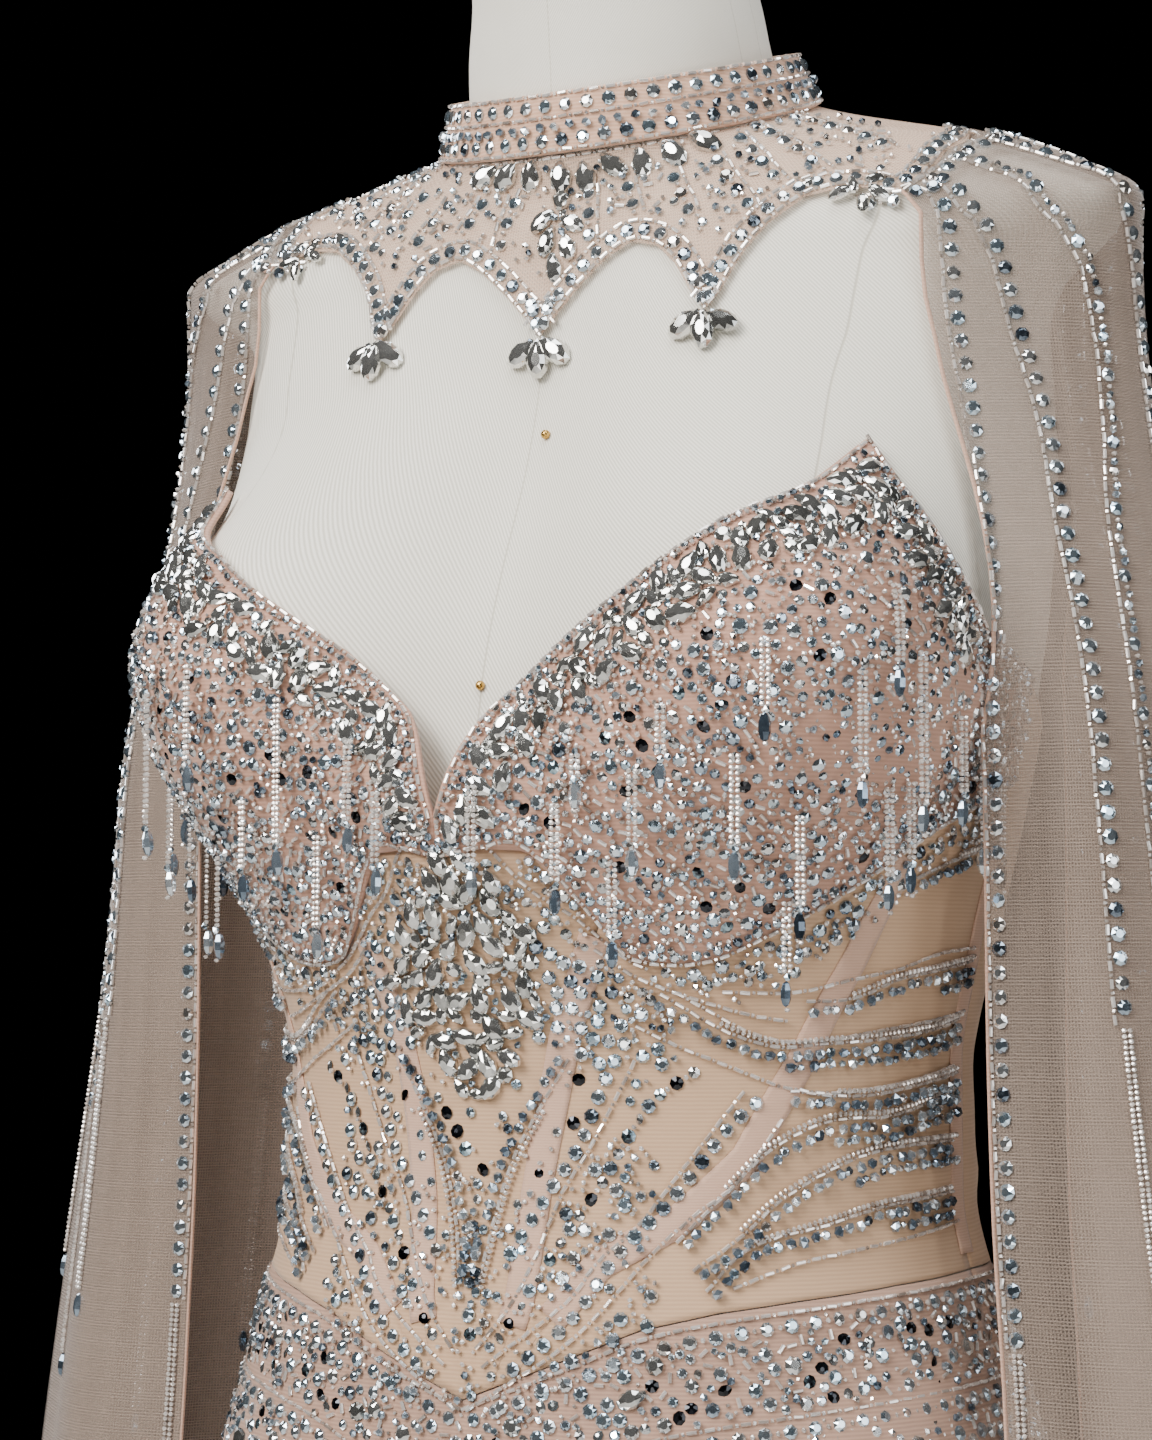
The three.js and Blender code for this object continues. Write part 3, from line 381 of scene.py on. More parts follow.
class GridSurface(Surface):
    """A surface read from a grid of points, by shares across and along it."""

    def __init__(self, grid: Array) -> None:
        """Keeps the grid, with rows along and columns across."""
        self.grid = grid
        self.across_step = 0.5 / (grid.shape[1] - 1)
        self.up_step = 0.5 / (grid.shape[0] - 1)

    def points(self, a: Array, b: Array) -> Array:
        """Gives the points at share a across and share b along."""
        a, b = np.broadcast_arrays(np.asarray(a, float), np.asarray(b, float))
        rows, columns = self.grid.shape[:2]
        u = np.clip(a, 0, 1) * (columns - 1)
        v = np.clip(b, 0, 1) * (rows - 1)
        c = np.minimum(u.astype(int), columns - 2)
        r = np.minimum(v.astype(int), rows - 2)
        du, dv = (u - c)[..., None], (v - r)[..., None]
        low = self.grid[r, c] * (1 - du) + self.grid[r, c + 1] * du
        high = self.grid[r + 1, c] * (1 - du) + self.grid[r + 1, c + 1] * du
        return low * (1 - dv) + high * dv


@dataclass(frozen=True)
class Crease:
    """A soft ridge or trough placed from one place to another."""

    start: tuple[float, float]
    end: tuple[float, float]
    width: float
    depth: float

    def depth_at(self, turn: Array, level: Array) -> Array:
        """Gives the crease's depth at each place, fading towards its ends."""
        way = np.array([(self.end[0] - self.start[0]) * TURN_LENGTH, self.end[1] - self.start[1]])
        length = float(np.hypot(*way))
        across = (turn - self.start[0]) * TURN_LENGTH
        up = level - self.start[1]
        along = (across * way[0] + up * way[1]) / length
        aside = (across * way[1] - up * way[0]) / length
        fade = smoothstep(along / length, -0.05, 0.3) * (1 - smoothstep(along / length, 0.7, 1.05))
        return self.depth * bell(aside, self.width) * fade


@dataclass(frozen=True)
class Panel:
    """A four sided cloth panel between its bottom, top, left and right runs of places."""

    bottom: Array
    top: Array
    left: Array
    right: Array

    def place(self, u: Array, v: Array) -> tuple[Array, Array]:
        """Gives the turn and level at shares across and up the panel."""
        u, v = np.broadcast_arrays(np.asarray(u, float), np.asarray(v, float))
        su, sv = u[..., None], v[..., None]
        upright = (1 - sv) * pick(self.bottom, u) + sv * pick(self.top, u)
        across = (1 - su) * pick(self.left, v) + su * pick(self.right, v)
        low = (1 - su) * self.bottom[0] + su * self.bottom[-1]
        high = (1 - su) * self.top[0] + su * self.top[-1]
        place = upright + across - (1 - sv) * low - sv * high
        return place[..., 0], place[..., 1]

    def grid(self, columns: int, rows: int, inset: float = 0.0015) -> tuple[Array, Array]:
        """Gives the turns and levels of an even grid, a hair inside the panel's edges."""
        u = np.linspace(inset, 1 - inset, columns + 1)[None, :]
        v = np.linspace(inset, 1 - inset, rows + 1)[:, None]
        return self.place(u, v)


FORM = BodySurface(FORM_SECTIONS)
GOWN = BodySurface(
    SKIRT_SECTIONS + tuple(row for row in FORM_SECTIONS if row[0] >= SKIRT_JOIN_LEVEL), fluted=True)
COLLAR = BodySurface(COLLAR_SECTIONS, bust=False)


def srgb(code: str) -> tuple[float, float, float, float]:
    """Turns an sRGB hex colour to a linear one."""
    parts = [int(code[i:i + 2], 16) / 255 for i in (1, 3, 5)]
    linear = [p / 12.92 if p <= 0.04045 else ((p + 0.055) / 1.055) ** 2.4 for p in parts]
    return (*linear, 1.0)


def add_node(tree: bpy.types.NodeTree, kind: str, settings: dict | None = None,
             inputs: dict | None = None) -> bpy.types.Node:
    """Adds a node with its settings and links.

    Args:
        tree: The node tree.
        kind: The node's type name.
        settings: Attributes to set.
        inputs: Sockets by name or number, each a value or the socket that feeds it.

    Returns:
        The new node.
    """
    node = tree.nodes.new(kind)
    for name, value in (settings or {}).items():
        setattr(node, name, value)
    for name, value in (inputs or {}).items():
        socket = node.inputs[name]
        if isinstance(value, bpy.types.NodeSocket):
            tree.links.new(value, socket)
        else:
            socket.default_value = value
    return node


def set_ramp(node: bpy.types.Node, stops: Sequence[tuple[float, str]]) -> None:
    """Fills a colour ramp with (place, hex colour) stops."""
    ramp = node.color_ramp
    while len(ramp.elements) < len(stops):
        ramp.elements.new(0.5)
    for element, (place, code) in zip(ramp.elements, stops):
        element.position = place
        element.color = srgb(code)


def new_material(name: str) -> tuple[bpy.types.Material, bpy.types.NodeTree, bpy.types.Node]:
    """Makes a node material and gives its tree and shader."""
    material = bpy.data.materials.new(name)
    material.use_nodes = True
    tree = material.node_tree
    return material, tree, tree.nodes["Principled BSDF"]


@dataclass(frozen=True)
class TwillCover:
    """Cotton twill stretched over padding: matte ivory with fine slanting ribs and sewn seams."""

    name: str = "ivory_cotton_twill"
    light: str = "#EFEBE0"
    dark: str = "#CBC6B8"
    seam: str = "#C2BCAD"
    rib_mm: float = 1.05
    seam_mm: float = 0.4

    def make(self) -> bpy.types.Material:
        """Builds the material."""
        material, tree, shader = new_material(self.name)
        uv = add_node(tree, "ShaderNodeUVMap", {"uv_map": "UVMap"})
        slant = add_node(tree, "ShaderNodeMapping", {}, {"Vector": uv.outputs["UV"]})
        slant.inputs["Rotation"].default_value = (0, 0, math.radians(-32))
        rib_scale = math.pi / 10 / (self.rib_mm * MM)
        ribs = add_node(tree, "ShaderNodeTexWave", {}, {
            "Vector": slant.outputs["Vector"], "Scale": rib_scale, "Distortion": 0.6, "Detail": 1.0})
        patch = add_node(tree, "ShaderNodeTexNoise", {}, {
            "Vector": uv.outputs["UV"], "Scale": 14.0, "Detail": 3.0})
        tone = add_node(tree, "ShaderNodeMix", {"data_type": "FLOAT"}, {
            0: 0.3, 2: ribs.outputs["Fac"], 3: patch.outputs["Fac"]})
        cloth = add_node(tree, "ShaderNodeValToRGB", {}, {"Fac": tone.outputs[0]})
        set_ramp(cloth, ((0.2, self.dark), (0.8, self.light)))
        seams = add_node(tree, "ShaderNodeAttribute", {"attribute_name": "seams"})
        split = add_node(tree, "ShaderNodeSeparateXYZ", {}, {"Vector": seams.outputs["Vector"]})
        nearest: bpy.types.NodeSocket | None = None
        for axis in ("X", "Y", "Z"):
            size = add_node(tree, "ShaderNodeMath", {"operation": "ABSOLUTE"}, {0: split.outputs[axis]})
            if nearest is None:
                nearest = size.outputs[0]
            else:
                least = add_node(tree, "ShaderNodeMath", {"operation": "MINIMUM"}, {
                    0: nearest, 1: size.outputs[0]})
                nearest = least.outputs[0]
        line = add_node(tree, "ShaderNodeMapRange", {"interpolation_type": "SMOOTHSTEP"}, {
            "Value": nearest, "From Min": 0.1, "From Max": self.seam_mm * 1.6,
            "To Min": 1.0, "To Max": 0.0})
        mixed = add_node(tree, "ShaderNodeMix", {"data_type": "RGBA"}, {
            0: line.outputs["Result"], 6: cloth.outputs["Color"], 7: srgb(self.seam)})
        tree.links.new(mixed.outputs[2], shader.inputs["Base Color"])
        sunk = add_node(tree, "ShaderNodeMath", {"operation": "MULTIPLY"}, {
            0: line.outputs["Result"], 1: -3.0})
        height = add_node(tree, "ShaderNodeMath", {"operation": "ADD"}, {
            0: ribs.outputs["Fac"], 1: sunk.outputs[0]})
        bump = add_node(tree, "ShaderNodeBump", {}, {
            "Height": height.outputs[0], "Strength": 0.3, "Distance": 0.0002})
        tree.links.new(bump.outputs["Normal"], shader.inputs["Normal"])
        shader.inputs["Roughness"].default_value = 0.88
        shader.inputs["Sheen Weight"].default_value = 0.15
        return material


@dataclass(frozen=True)
class StretchMesh:
    """Knitted stretch mesh: soft, matte and lightly ribbed across, a little sheer if it says so."""

    name: str
    light: str
    dark: str
    cover: float = 1.0
    rib_mm: float = 1.3
    cell_mm: float = 0.0
    gather: float = 0.0

    def make(self) -> bpy.types.Material:
        """Builds the material."""
        material, tree, shader = new_material(self.name)
        uv = add_node(tree, "ShaderNodeUVMap", {"uv_map": "UVMap"})
        place = add_node(tree, "ShaderNodeTexCoord")
        rib_scale = math.pi / 10 / (self.rib_mm * MM)
        ribs = add_node(tree, "ShaderNodeTexWave", {"bands_direction": "Z"}, {
            "Vector": place.outputs["Object"], "Scale": rib_scale, "Distortion": 0.8, "Detail": 2.0,
            "Detail Scale": 0.4})
        patch = add_node(tree, "ShaderNodeTexNoise", {}, {
            "Vector": uv.outputs["UV"], "Scale": 32.0, "Detail": 4.0})
        tone = add_node(tree, "ShaderNodeMix", {"data_type": "FLOAT"}, {
            0: 0.45, 2: ribs.outputs["Fac"], 3: patch.outputs["Fac"]})
        cloth = add_node(tree, "ShaderNodeValToRGB", {}, {"Fac": tone.outputs[0]})
        set_ramp(cloth, ((0.1, self.dark), (0.85, self.light)))
        tree.links.new(cloth.outputs["Color"], shader.inputs["Base Color"])
        bump = add_node(tree, "ShaderNodeBump", {}, {
            "Height": ribs.outputs["Fac"], "Strength": 0.2, "Distance": 0.0002})
        tree.links.new(bump.outputs["Normal"], shader.inputs["Normal"])
        shader.inputs["Roughness"].default_value = 0.8
        shader.inputs["Sheen Weight"].default_value = 0.2
        if self.cover < 1:
            self._open(tree, shader, uv)
        return material

    def _open(self, tree: bpy.types.NodeTree, shader: bpy.types.Node, uv: bpy.types.Node) -> None:
        """Lets light through between the threads, less so where the cloth is gathered, towards the back.

        Args:
            tree: The material's node tree.
            shader: Its main shader.
            uv: The node that reads the piece's own map.
        """
        cells = add_node(tree, "ShaderNodeTexVoronoi", {"feature": "DISTANCE_TO_EDGE"}, {
            "Vector": uv.outputs["UV"], "Scale": 1 / (self.cell_mm * MM), "Randomness": 0.25})
        opening = add_node(tree, "ShaderNodeMapRange", {}, {
            "Value": cells.outputs["Distance"], "From Min": 0.05, "From Max": 0.4,
            "To Min": min(1.0, self.cover + 0.22), "To Max": max(0.0, self.cover - 0.12)})
        if not self.gather:
            tree.links.new(opening.outputs["Result"], shader.inputs["Alpha"])
            return
        place = add_node(tree, "ShaderNodeTexCoord")
        split = add_node(tree, "ShaderNodeSeparateXYZ", {}, {"Vector": place.outputs["Object"]})
        behind = add_node(tree, "ShaderNodeMapRange", {"interpolation_type": "SMOOTHSTEP"}, {
            "Value": split.outputs["Y"], "From Min": 0.0, "From Max": 0.07,
            "To Min": 0.0, "To Max": self.gather})
        upright = add_node(tree, "ShaderNodeMapping", {}, {"Vector": uv.outputs["UV"]})
        upright.inputs["Scale"].default_value = (48.0, 1.6, 1.0)
        streak = add_node(tree, "ShaderNodeTexNoise", {}, {
            "Vector": upright.outputs["Vector"], "Scale": 1.0, "Detail": 2.0})
        fold = add_node(tree, "ShaderNodeMapRange", {}, {
            "Value": streak.outputs["Fac"], "From Min": 0.32, "From Max": 0.68,
            "To Min": -0.07, "To Max": 0.12})
        both = add_node(tree, "ShaderNodeMath", {"operation": "ADD"}, {
            0: behind.outputs["Result"], 1: fold.outputs["Result"]})
        total = add_node(tree, "ShaderNodeMath", {"operation": "ADD", "use_clamp": True}, {
            0: both.outputs[0], 1: opening.outputs["Result"]})
        tree.links.new(total.outputs[0], shader.inputs["Alpha"])


@dataclass(frozen=True)
class CutCrystal:
    """Foil-backed cut glass: mirror-bright facets, each stone a little bluer, paler or darker."""

    name: str
    tones: tuple[tuple[float, str], ...]
    roughness: float = 0.07
    metal: float = 0.92

    def make(self) -> bpy.types.Material:
        """Builds the material."""
        material, tree, shader = new_material(self.name)
        tone = add_node(tree, "ShaderNodeAttribute", {"attribute_name": "tone"})
        grain = add_node(tree, "ShaderNodeTexCoord")
        speck = add_node(tree, "ShaderNodeTexNoise", {}, {
            "Vector": grain.outputs["Object"], "Scale": 700.0, "Detail": 1.0})
        shade = add_node(tree, "ShaderNodeMix", {"data_type": "FLOAT"}, {
            0: 0.22, 2: tone.outputs["Fac"], 3: speck.outputs["Fac"]})
        ramp = add_node(tree, "ShaderNodeValToRGB", {}, {"Fac": shade.outputs[0]})
        ramp.color_ramp.interpolation = "LINEAR"
        set_ramp(ramp, self.tones)
        tree.links.new(ramp.outputs["Color"], shader.inputs["Base Color"])
        shader.inputs["Metallic"].default_value = self.metal
        shader.inputs["Roughness"].default_value = self.roughness
        shader.inputs["Coat Weight"].default_value = 0.6
        shader.inputs["Coat Roughness"].default_value = 0.03
        return material


@dataclass(frozen=True)
class SatinMetal:
    """A hard coat or bare metal: even, lightly uneven in gloss."""

    name: str
    light: str
    dark: str
    metal: float
    roughness: float
    grain_mm: float = 4.0

    def make(self) -> bpy.types.Material:
        """Builds the material."""
        material, tree, shader = new_material(self.name)
        place = add_node(tree, "ShaderNodeTexCoord")
        noise = add_node(tree, "ShaderNodeTexNoise", {}, {
            "Vector": place.outputs["Object"], "Scale": 1 / (self.grain_mm * MM), "Detail": 4.0})
        ramp = add_node(tree, "ShaderNodeValToRGB", {}, {"Fac": noise.outputs["Fac"]})
        set_ramp(ramp, ((0.3, self.dark), (0.7, self.light)))
        tree.links.new(ramp.outputs["Color"], shader.inputs["Base Color"])
        gloss = add_node(tree, "ShaderNodeMapRange", {}, {
            "Value": noise.outputs["Fac"], "To Min": self.roughness - 0.06,
            "To Max": self.roughness + 0.1})
        tree.links.new(gloss.outputs["Result"], shader.inputs["Roughness"])
        shader.inputs["Metallic"].default_value = self.metal
        return material


class Finish(Enum):
    """The finishes of the form, the gown and its beads."""

    TWILL = TwillCover()
    YOKE = StretchMesh("nude_yoke_mesh", "#E4C6AF", "#D5B39B", cover=0.36, cell_mm=1.1)
    COLLAR = StretchMesh("nude_collar_mesh", "#D8B095", "#C4977C")
    CUP = StretchMesh("peach_cup_mesh", "#BF947F", "#AB826D")
    BODICE = StretchMesh("sand_midriff_mesh", "#C6A382", "#B69272")
    SKIRT = StretchMesh("nude_skirt_mesh", "#B38F7A", "#9A7967")
    TAPE = StretchMesh("pink_channel_tape", "#C8A38C", "#BC967F", rib_mm=0.9)
    TULLE = StretchMesh("taupe_cape_tulle", "#A89587", "#8C7A6D", cover=0.24, rib_mm=1.0, cell_mm=1.2,
                        gather=0.3)
    HEM = StretchMesh("peach_rolled_hem", "#DDB49D", "#C99F88", cover=0.8, cell_mm=1.2)
    CRYSTAL = CutCrystal("foiled_crystal", (
        (0.1, "#5E6A78"), (0.28, "#AFC0CF"), (0.42, "#E6EEF4"), (0.56, "#B6D0E1"), (0.7, "#EEF2F4"),
        (0.88, "#C8C1BB")))
    CLEAR = CutCrystal("clear_foiled_crystal", (
        (0.12, "#6E6F6D"), (0.35, "#B3B3AF"), (0.55, "#E6E6E3"), (0.75, "#CBCAC5"), (0.92, "#EFEFED")))
    GLASS = CutCrystal("silver_lined_glass", (
        (0.15, "#A5988E"), (0.4, "#D6CCC4"), (0.6, "#F5EFEA"), (0.85, "#BFB3AA")),
        roughness=0.12, metal=0.55)
    SEQUIN = CutCrystal("sequin_film", (
        (0.1, "#17181C"), (0.34, "#2C2F36"), (0.42, "#9FB9C4"), (0.62, "#C9C8C6"), (0.9, "#8F9298")),
        roughness=0.14)
    SMOKE = CutCrystal("smoky_cut_glass", (
        (0.15, "#46525F"), (0.4, "#7F90A1"), (0.62, "#B9C7D3"), (0.85, "#E6ECF0")),
        roughness=0.05, metal=0.8)
    BRASS = SatinMetal("polished_brass", "#D9B266", "#A87F3A", metal=1.0, roughness=0.25, grain_mm=1.0)
    STAND = SatinMetal("black_powder_coat", "#34343A", "#232327", metal=0.6, roughness=0.42)
    WOOD = SatinMetal("beech_neck_cap", "#C9A074", "#A97E52", metal=0.0, roughness=0.5, grain_mm=12.0)
    FLOOR = SatinMetal("pale_studio_floor", "#D8D6D2", "#D0CEC9", metal=0.0, roughness=0.8,
                       grain_mm=60.0)

    @property
    def material(self) -> bpy.types.Material:
        """Gives the finish's material, made once."""
        found = bpy.data.materials.get(self.value.name)
        return found if found else self.value.make()


def new_object(name: str, points: Array, faces: Array | Sequence, finishes: Sequence[Finish],
               picks: Array | None = None, smooth: bool = False) -> bpy.types.Object:
    """Makes an object from points in millimetres.

    Args:
        name: The piece's name.
        points: Its points, one row each.
        faces: Its faces, as rows of point numbers.
        finishes: Its finishes.
        picks: The number of each face's finish.
        smooth: Whether the faces are shaded smoothly.

    Returns:
        The object, at the origin and in metres.
    """
    mesh = bpy.data.meshes.new(name)
    rows = faces.tolist() if isinstance(faces, np.ndarray) else list(faces)
    mesh.from_pydata((np.asarray(points) * MM).tolist(), [], rows)
    for finish in finishes:
        mesh.materials.append(finish.material)
    if picks is not None:
        mesh.polygons.foreach_set("material_index", np.asarray(picks, dtype=np.int32))
    mesh.polygons.foreach_set("use_smooth", np.full(len(mesh.polygons), smooth))
    mesh.update()
    piece = bpy.data.objects.new(name, mesh)
    bpy.context.scene.collection.objects.link(piece)
    return piece


def select_only(piece: bpy.types.Object) -> None:
    """Deselects everything else and makes the piece active."""
    bpy.ops.object.select_all(action="DESELECT")
    piece.select_set(True)
    bpy.context.view_layer.objects.active = piece


def apply_modifier(piece: bpy.types.Object, kind: str, **settings: object) -> None:
    """Adds a modifier with its settings and applies it."""
    select_only(piece)
    modifier = piece.modifiers.new(kind.lower(), kind)
    for name, value in settings.items():
        setattr(modifier, name, value)
    bpy.ops.object.modifier_apply(modifier=modifier.name)


def report(piece: bpy.types.Object, slot: str, *nodes: str) -> bpy.types.Object:
    """Rides a piece on the root, hides the imported nodes that it stands for, and logs it."""
    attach(piece, "root")
    if nodes:
        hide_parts(*nodes)
    LOG.info("%s: %d faces", piece.name, len(piece.data.polygons))
    return piece


class Cloth:
    """A thin sheet of cloth made from a grid of points."""

    def __init__(self, name: str, grid: Array, finish: Finish, wall: float) -> None:
        """Keeps the sheet's grid, with rows going up and columns going round."""
        self.name = name
        self.grid = grid
        self.finish = finish
        self.wall = wall

    @staticmethod
    def mirror(grid: Array) -> Array:
        """Gives the grid of the other side."""
        flipped = grid[:, ::-1].copy()
        flipped[..., 0] *= -1
        return flipped

    def flat_size(self) -> tuple[float, float, float]:
        """Measures the cut before it is worn.

        Returns:
            Its width, length and area, in metres and square metres.
        """
        across = np.linalg.norm(np.diff(self.grid, axis=1), axis=-1).sum(axis=1)
        along = np.linalg.norm(np.diff(self.grid, axis=0), axis=-1).sum(axis=0)
        width, length = float(across.max()) * MM, float(along.max()) * MM
        side = self.grid[:-1, 1:] - self.grid[:-1, :-1]
        rise = self.grid[1:, :-1] - self.grid[:-1, :-1]
        area = float(np.linalg.norm(np.cross(side, rise), axis=-1).sum()) * MM * MM
        return width, length, min(max(area, 0.31 * width * length), width * length)

    def make(self) -> bpy.types.Object:
        """Builds the sheet with its map in metres, and gives it its thickness."""
        rows, columns = self.grid.shape[:2]
        index = np.arange(rows * columns).reshape(rows, columns)
        faces = np.stack([index[:-1, :-1], index[:-1, 1:], index[1:, 1:], index[1:, :-1]], axis=-1)
        piece = new_object(self.name, self.grid.reshape(-1, 3), faces.reshape(-1, 4), [self.finish],
                           smooth=True)
        across = np.linalg.norm(np.diff(self.grid, axis=1), axis=-1).mean(axis=0)
        along = np.linalg.norm(np.diff(self.grid, axis=0), axis=-1).mean(axis=1)
        u = np.concatenate([[0], np.cumsum(across)]) * MM
        v = np.concatenate([[0], np.cumsum(along)]) * MM
        chart = np.stack(np.meshgrid(u, v), axis=-1).reshape(-1, 2)
        layer = piece.data.uv_layers.new(name="UVMap")
        layer.data.foreach_set("uv", chart[faces.reshape(-1)].ravel())
        apply_modifier(piece, "SOLIDIFY", thickness=self.wall * MM, offset=-1.0)
        return piece

    def dress(self, slot: str, nodes: Sequence[str],
              trims: Sequence[bpy.types.Object] = ()) -> bpy.types.Object:
        """Args:
            slot: Not used.
            nodes: The nodes that it stands for.
            trims: Separate pieces on it, such as a rolled edge.

        Returns:
            The finished piece.
        """
        piece = report(self.make(), slot, *nodes)
        for trim in trims:
            report(trim, slot, *nodes)
        width, length, area = self.flat_size()
        return piece


@dataclass(frozen=True)
class Bodice:
    """The beaded cups and the boned midriff."""

    cup_columns: int = 96
    cup_rows: int = 26
    rows: int = 52
    fullness: float = 1.0

    CUP_CREASES = (
        Crease((70, 130), (40, 150), 9, 1.3), Crease((76, 150), (50, 170), 7, 1.0),
        Crease((80, 138), (60, 120), 6, -0.9))
    SIDE_CREASES = (
        Crease((88, 2), (56, 10), 5, 1.3), Crease((88, 26), (60, 30), 6, -1.0),
        Crease((88, 60), (66, 70), 6, 0.9), Crease((84, -16), (50, -14), 4, 1.0))
    BACK_CREASES = (
        Crease((92, 5), (150, -4), 5, 1.4), Crease((95, 40), (140, 30), 7, -1.0),
        Crease((178, 18), (130, 24), 6, 1.2), Crease((100, 90), (160, 84), 9, 1.1))

    @staticmethod
    def cup() -> Panel:
        """Gives the left cup's outline."""
        top = np.vstack([run(NECKLINE, NECKLINE_STEPS), run(CUP_SIDE, CUP_SIDE_STEPS)[1:]])
        return Panel(run(CUP_BASE, CUP_BASE_STEPS), top, run((CUP_BASE[0], NECKLINE[0]), 8),
                     run(((SIDE_SEAM_TURN, CUP_BASE_SIDE), (SIDE_SEAM_TURN, ARMPIT_LEVEL)), 8))

    @staticmethod
    def hip_run(start: float, end: float, steps: int) -> Array:
        """Gives a stretch of the hip seam between two turns."""
        turns = np.linspace(start, end, steps + 1)
        seam = np.array(HIP_SEAM, float)
        return np.stack([turns, np.interp(np.abs(turns), seam[:, 0], seam[:, 1])], axis=-1)

    @classmethod
    def centre(cls) -> Panel:
        """Gives the centre front's outline."""
        half = run(CUP_BASE, CUP_BASE_STEPS)[:6]
        top = np.vstack([(half * (-1, 1))[::-1], half[1:]])
        seam = run(FRONT_SEAM, FRONT_SEAM_STEPS)
        return Panel(cls.hip_run(-FRONT_SEAM[0][0], FRONT_SEAM[0][0], 10), top, seam * (-1, 1), seam)

    @classmethod
    def middle(cls) -> Panel:
        """Gives the left middle front's outline."""
        top = run(CUP_BASE, CUP_BASE_STEPS)[5:14]
        seam = run(FRONT_SEAM, FRONT_SEAM_STEPS)
        return Panel(cls.hip_run(FRONT_SEAM[0][0], SWEEP_SEAM[0][0], 8), top, seam,
                     run(SWEEP_SEAM, SWEEP_SEAM_STEPS))

    @classmethod
    def side(cls) -> Panel:
        """Gives the left side front's outline."""
        seam = run(SWEEP_SEAM, SWEEP_SEAM_STEPS)
        hip = run((SWEEP_SEAM[0],) + HIP_SEAM[1:], (1, 1, 1, 2, 2, 2)[:len(HIP_SEAM) - 1])
        share = (np.arange(len(seam)) / (len(seam) - 1)) ** SIDE_ROW_EASE
        levels = HIP_LEVEL_BACK + (CUP_BASE_SIDE - HIP_LEVEL_BACK) * share
        right = np.stack([np.full(len(seam), SIDE_SEAM_TURN), levels], axis=-1)
        return Panel(hip, run(CUP_BASE, CUP_BASE_STEPS)[13:], seam, right)

    @staticmethod
    def back() -> Panel:
        """Gives the left back's outline."""
        bottom = ((SIDE_SEAM_TURN, HIP_LEVEL_BACK), (BACK_SEAM_TURN, HIP_LEVEL_BACK))
        return Panel(run(bottom, 9), run(BACK_TOP, 3), run((bottom[0], BACK_TOP[0]), 10),
                     run((bottom[1], BACK_TOP[3]), 10))

    def build(self) -> None:
        """Builds the cups, the front panels, the backs and the boning channels."""
        cup_cloth = Layer(GOWN, CUP_GAP + CUP_WALL, True, self.CUP_CREASES)
        self._both("cup", cup_cloth.points(*self.cup().grid(self.cup_columns, self.cup_rows)),
                   Finish.CUP, CUP_WALL, "cup_mesh", "stretched")
        plain = Layer(GOWN, FORM_GAP + MESH_WALL, True)
        centre = Cloth("centre_front_cloth", plain.points(*self.centre().grid(40, self.rows)),
                       Finish.BODICE, MESH_WALL)
        centre.dress("bodice_mesh", ["centre_front"])
        self._both("middle_front", plain.points(*self.middle().grid(36, self.rows)),
                   Finish.BODICE, MESH_WALL, "bodice_mesh", "stretched")
        side = Layer(GOWN, FORM_GAP + MESH_WALL, True, self.SIDE_CREASES)
        self._both("side_front", side.points(*self.side().grid(36, self.rows)),
                   Finish.BODICE, MESH_WALL, "bodice_mesh", "stretched")
        back = Layer(GOWN, FORM_GAP + MESH_WALL, False, self.BACK_CREASES)
        self._both("back_bodice", back.points(*self.back().grid(56, 48)), Finish.BODICE, MESH_WALL,
                   "bodice_mesh", "stretched")
        self._channels()

    def _channels(self) -> None:
        """Lays the boning channels over the seams."""
        spread = np.linspace(-0.5, 0.5, 7) * CHANNEL_WIDTH
        cloth = Layer(GOWN, FORM_GAP + MESH_WALL + TAPE_LIFT, True)
        runs = {
            "front_channel": pick(self.middle().left, np.linspace(0.13, 0.97, 52)),
            "sweep_channel": pick(self.middle().right, np.linspace(0.13, 0.97, 52)),
            "side_channel": np.stack([np.full(50, SIDE_SEAM_TURN), np.linspace(-22, 122, 50)], axis=-1),
        }
        for name, places in runs.items():
            middle = cloth.points(places[:, 0], places[:, 1])
            along = unit(np.gradient(middle, axis=0))
            normal = cloth.normals(places[:, 0], places[:, 1])
            aside = unit(np.cross(along, normal))
            crown = 0.35 * (1 - (2 * spread / CHANNEL_WIDTH) ** 2)
            grid = (middle[:, None] + aside[:, None] * spread[None, :, None]
                    + normal[:, None] * crown[None, :, None])
            self._both(name, grid, Finish.TAPE, TAPE_WALL, "channel_tape", "stretched")

    @staticmethod
    def _both(name: str, grid: Array, finish: Finish, wall: float, slot: str, held: str) -> None:
        """Makes the left piece and its mirrored right one.

        Args:
            name: The name that both begin with.
            grid: The left piece's grid.
            finish: The cloth's finish.
            wall: Its thickness.
            slot: Not used.
            held: Not used.
        """
        for side, points in (("left", grid), ("right", Cloth.mirror(grid))):
            node = f"{name}_{side}"
            Cloth(f"{node}_cloth", points, finish, wall).dress(slot, [node])


